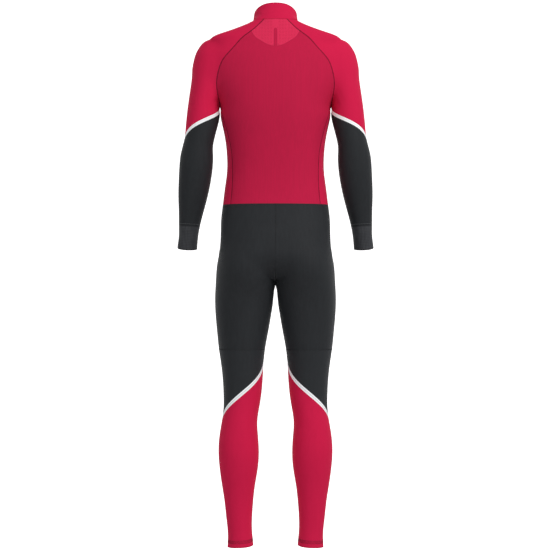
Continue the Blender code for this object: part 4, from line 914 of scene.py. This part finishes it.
def stitchTree(name, shape):  # instances along lines, or on points, standing on the cloth
    tree = bpy.data.node_groups.new(name, "GeometryNodeTree")
    for key, kind in (("Geometry", "Geometry"), *((key, "Float") for key in stitchKeys), ("Material", "Material")):
        tree.interface.new_socket(key, in_out="INPUT", socket_type="NodeSocket" + kind)
    tree.interface.new_socket("Geometry", in_out="OUTPUT", socket_type="NodeSocketGeometry")
    given = tree.nodes.new("NodeGroupInput").outputs
    if shape == "disc":
        base, along = given["Geometry"], addNode(tree, "FunctionNodeInputVector", vector=(1, 0, 0))[0]
    else:
        line = addNode(tree, "GeometryNodeMeshToCurve", {"Mesh": given["Geometry"]})[0]
        base = addNode(tree, "GeometryNodeResampleCurve", {"Curve": line, "Length": given["Pitch"]}, mode="LENGTH")[0]
        along = addNode(tree, "GeometryNodeInputTangent")[0]
    up = addNode(tree, "GeometryNodeInputNamedAttribute", {"Name": "outward"}, data_type="FLOAT_VECTOR")[0]
    stand = addNode(tree, "FunctionNodeAlignRotationToVector", {"Vector": up}, axis="Z")[0]
    turn = addNode(tree, "FunctionNodeAlignRotationToVector", {"Rotation": stand, "Vector": along}, axis="X",
                   pivot_axis="Z")[0]
    odd = mathNode(tree, "MODULO", addNode(tree, "GeometryNodeInputIndex")[0], 2.0)
    sign = addNode(tree, "ShaderNodeMath", {0: odd, 1: 2.0, 2: -1.0}, operation="MULTIPLY_ADD")[0]
    angle = addNode(tree, "ShaderNodeCombineXYZ", {2: mathNode(tree, "MULTIPLY", sign, given["Lean"])})[0]
    euler = addNode(tree, "FunctionNodeEulerToRotation", {0: angle})[0]
    leaned = addNode(tree, "FunctionNodeRotateRotation", {0: turn, 1: euler}, rotation_space="LOCAL")[0]
    if shape == "box":
        size = addNode(tree, "ShaderNodeCombineXYZ", {0: given["Length"], 1: given["Width"], 2: given["Height"]})[0]
        piece = addNode(tree, "GeometryNodeMeshCube", {"Size": size})[0]
    else:
        count, depth, tilt = (6, "Length", math.pi / 2) if shape == "bar" else (8, "Height", 0.0)
        rod = addNode(tree, "GeometryNodeMeshCylinder", {"Vertices": count, "Radius": given["Width"],
                                                         "Depth": given[depth]})[0]
        piece = addNode(tree, "GeometryNodeTransform", {"Geometry": rod, "Rotation": (0, tilt, 0)})[0]
    placed = addNode(tree, "GeometryNodeInstanceOnPoints", {"Points": base, "Instance": piece, "Rotation": leaned})[0]
    real = addNode(tree, "GeometryNodeRealizeInstances", {0: placed})[0]
    painted = addNode(tree, "GeometryNodeSetMaterial", {0: real, 2: given["Material"]})[0]
    tree.links.new(painted, tree.nodes.new("NodeGroupOutput").inputs[0])
    return tree


def repeatAlong(name, lines, look):
    path = polyline(name + "Path", lines)
    step = path.modifiers.new("repeat", "NODES")
    step.node_group = stitchTree(name + "Nodes", look["shape"])
    sockets = {item.name: item.identifier for item in step.node_group.interface.items_tree
               if item.in_out == "INPUT"}
    for key in stitchKeys:
        step[sockets[key]] = look[key.lower()]
    step[sockets["Material"]] = bpy.data.materials[look["material"]]
    mesh = bpy.data.meshes.new_from_object(path.evaluated_get(bpy.context.evaluated_depsgraph_get()))
    mesh.name = name
    if "outward" in mesh.attributes:
        mesh.attributes.remove(mesh.attributes["outward"])
    bpy.data.objects.remove(path)
    made = addObject(name, mesh)
    if not mesh.materials:
        mesh.materials.append(bpy.data.materials[look["material"]])
    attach(made, "suit")


def lifted(line, height):
    return line + outward(line) * (height - creased(line)[:, None])


stitchHeight, toothHeight, holeHeight = 0.0001, 0.0009, 0.00003  # over the cloth's outer face


def bothSides(lines, move=(0, 0, 0)):
    made = []
    for line in lines:
        line = lifted(settle(line + move), stitchHeight)
        made += [line, line * (-1, 1, 1)]
    return made


darkStitch = {"shape": "bar", "pitch": 0.0021, "length": 0.0036, "width": 0.00022, "height": 0.0, "lean": 0.95,
              "material": "darkThread"}
redStitch = dict(darkStitch, material="redThread")
blackStitch = dict(darkStitch, material="blackThread")
waistStitch = dict(darkStitch, length=0.0024, lean=0.7, width=0.00016, material="waistThread")
greyStitch = dict(darkStitch, length=0.0034, lean=0.0, pitch=0.0038, width=0.0004, material="greyThread")
stripStitch = dict(darkStitch, length=0.0036, lean=0.0, pitch=0.004, width=0.00028, material="stripThread")
hemCross = dict(darkStitch, pitch=0.002, length=0.0082, width=0.0002, lean=1.1, material="hemThread")
hemStitch = dict(hemCross, pitch=0.0029, length=0.0025, width=0.00028, lean=0.0)
toothRow = {"shape": "box", "pitch": 0.0016, "length": 0.001, "width": 0.0048, "height": 0.0014, "lean": 0.0,
            "material": "zipTooth"}
holes = {"shape": "disc", "pitch": 0.0, "length": 0.0, "width": 0.00075, "height": 0.0001, "lean": 0.0,
         "material": "holeDark", "spacing": 0.004, "margin": 0.003}
hemRows = {"upper": (-1.3975, -1.4035, 0.0), "middle": (-1.4012, -1.4072, 0.0), "lower": (-1.4049, -1.4109, 0.0)}
cuffRow = (-0.5528, -0.5473, 0.0)
stripMiddle = tuple((a + b) / 2 for a, b in zip(edges["legStripTop"], edges["legStripLow"]))

repeatAlong("darkStitches", bothSides(sewn(*darkNames) + [innerArm, innerShin]), darkStitch)
repeatAlong("redStitches", bothSides(sewn(*neckNames)), redStitch)
repeatAlong("waistStitches", bothSides(sewn(*waistNames), (0, 0, -0.005)), waistStitch)
blackLines = bothSides([ringLines["kneeTop"], innerForearm, innerThigh])
blackLines += [lifted(line, stitchHeight) for line in sewn("seatBack", "seatFront")]
repeatAlong("blackStitches", blackLines, blackStitch)
repeatAlong("cuffStitches", bothSides([ringLine("arm", cuffRow)]), greyStitch)
repeatAlong("stripStitches", bothSides([ringLine("leg", stripMiddle)]), stripStitch)
hemEdges = bothSides([ringLine("leg", hemRows[key]) for key in ("upper", "lower")])
repeatAlong("ankleRows", hemEdges, hemStitch)
repeatAlong("ankleCrosses", bothSides([ringLine("leg", hemRows["middle"])]), hemCross)
repeatAlong("zipTeeth", [lifted(zipLine, toothHeight)], toothRow)


def insideOutline(x, z, outline):
    inside = np.zeros(len(x), bool)
    for (x0, z0), (x1, z1) in zip(outline, np.roll(outline, -1, axis=0)):
        if z0 != z1:
            inside ^= ((z0 > z) != (z1 > z)) & (x < (x1 - x0) * (z - z0) / (z1 - z0) + x0)
    return inside


def yokeHoles():
    s = seams
    loop = np.vstack((s["neckBack"], s["raglanYoke"][1:], s["yokeEdge"][::-1][1:],
                      chain("slitOver", "slitBeside")[::-1][1:]))
    edgeTree = treeOf(bothSidesOf([loop, s["slitBeside"]]))
    x, z = np.meshgrid(np.arange(-0.07, 0.07, holes["spacing"]), np.arange(-0.075, 0.005, holes["spacing"]))
    x, z = x.ravel(), z.ravel()
    inside = insideOutline(np.abs(x), z, loop[:, [0, 2]])
    inside |= (np.abs(x) < cut["slitHalf"]) & (z > s["middleOver"][-1][2]) & (z < s["middleOver"][0][2])
    places = cast(spots(x[inside], 0.16, z[inside]), (0, -1, 0), 0.16)
    return np.array([place for place in places if edgeTree.find(Vector(place))[2] > holes["margin"]])


# dark discs on the yoke: painted shade in its perforations
repeatAlong("yokeHoles", [lifted(yokeHoles(), holeHeight)], holes)
print("stitches made")

# slider and tab keep their solids, with rounded edges and paint
for nodeName, width in (("zip_slider", 0.0004), ("pull_tab", 0.0003)):
    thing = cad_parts[nodeName]
    rounding = thing.modifiers.new("rounding", "BEVEL")
    rounding.width = width
    rounding.segments = 3
    rounding.limit_method = "ANGLE"
    thing.data.materials.clear()
    thing.data.materials.append(bpy.data.materials["zipPaint"])

# stage, lights and camera
stageLook = {"floorHeight": -2.35, "floorFrom": 6.0, "floorColour": (0.66, 0.66, 0.66, 1),
             "wallColour": (0.9, 0.9, 0.9, 1), "wallGlow": 0.8, "wallBend": 1.2, "wallFrom": -4.9, "wallTop": 9.0,
             "halfWidth": 12.0, "world": (1.0, 1.0, 1.0, 1), "worldStrength": 0.39, "aim": (0, 0, -0.6),
             "lens": 101.6, "sensor": 36.0, "clipEnd": 50}
lights = (  # name, place, size, power, colour
    ("key", (-2.3, 3.0, 2.2), 2.2, 122.0, (1.0, 0.99, 0.98)), ("fill", (2.6, 3.0, 0.4), 2.5, 12.0, (0.98, 0.99, 1.0)),
    ("front", (0.5, -3.5, 0.8), 2.5, 48.0, (1.0, 1.0, 1.0)))


def addFloor():
    bend, start, half = stageLook["wallBend"], stageLook["wallFrom"], stageLook["halfWidth"]
    path = [(stageLook["floorFrom"], 0.0)]
    for turn in np.linspace(0, math.pi / 2, 25):
        path.append((start - bend * math.sin(turn), bend * (1 - math.cos(turn))))
    path.append((start - bend, stageLook["wallTop"]))
    points = [(side * half, y, stageLook["floorHeight"] + z) for y, z in path for side in (-1, 1)]
    faces = [(2 * i, 2 * i + 1, 2 * i + 3, 2 * i + 2) for i in range(len(path) - 1)]
    mesh = bpy.data.meshes.new("floor")
    mesh.from_pydata(points, [], faces)
    mesh.polygons.foreach_set("use_smooth", [True] * len(mesh.polygons))
    mesh.materials.append(plainMaterial("floorPaint", stageLook["floorColour"], 0.9))
    mesh.materials.append(plainMaterial("wallPaint", stageLook["wallColour"], 0.9, glow=stageLook["wallGlow"]))
    mesh.polygons.foreach_set("material_index", [0] + [1] * (len(mesh.polygons) - 1))
    addObject("floor", mesh)


def addLight(name, place, size, power, colour):
    data = bpy.data.lights.new(name, "AREA")
    data.shape, data.size, data.energy, data.color = "DISK", size, power, colour
    light = addObject(name, data)
    light.location = place
    aim = Vector(stageLook["aim"]) - Vector(place)
    light.rotation_euler = aim.to_track_quat("-Z", "Y").to_euler()


def addWorld():
    world = bpy.data.worlds.new("studio")
    world.use_nodes = True
    shade = world.node_tree.nodes["Background"]
    shade.inputs[0].default_value = stageLook["world"]
    shade.inputs[1].default_value = stageLook["worldStrength"]
    bpy.context.scene.world = world


def addCamera():
    data = bpy.data.cameras.new("camera")
    data.sensor_width, data.lens, data.clip_end = stageLook["sensor"], stageLook["lens"], stageLook["clipEnd"]
    camera = addObject("camera", data)
    camera.location = (0.0, cut["viewDistance"], cut["viewHeight"])
    camera.rotation_euler = (math.pi / 2, 0, math.pi)
    bpy.context.scene.camera = camera


addFloor()
addWorld()
for light in lights:
    addLight(*light)
addCamera()
bpy.context.scene.view_settings.view_transform = "Standard"
print("stage made")
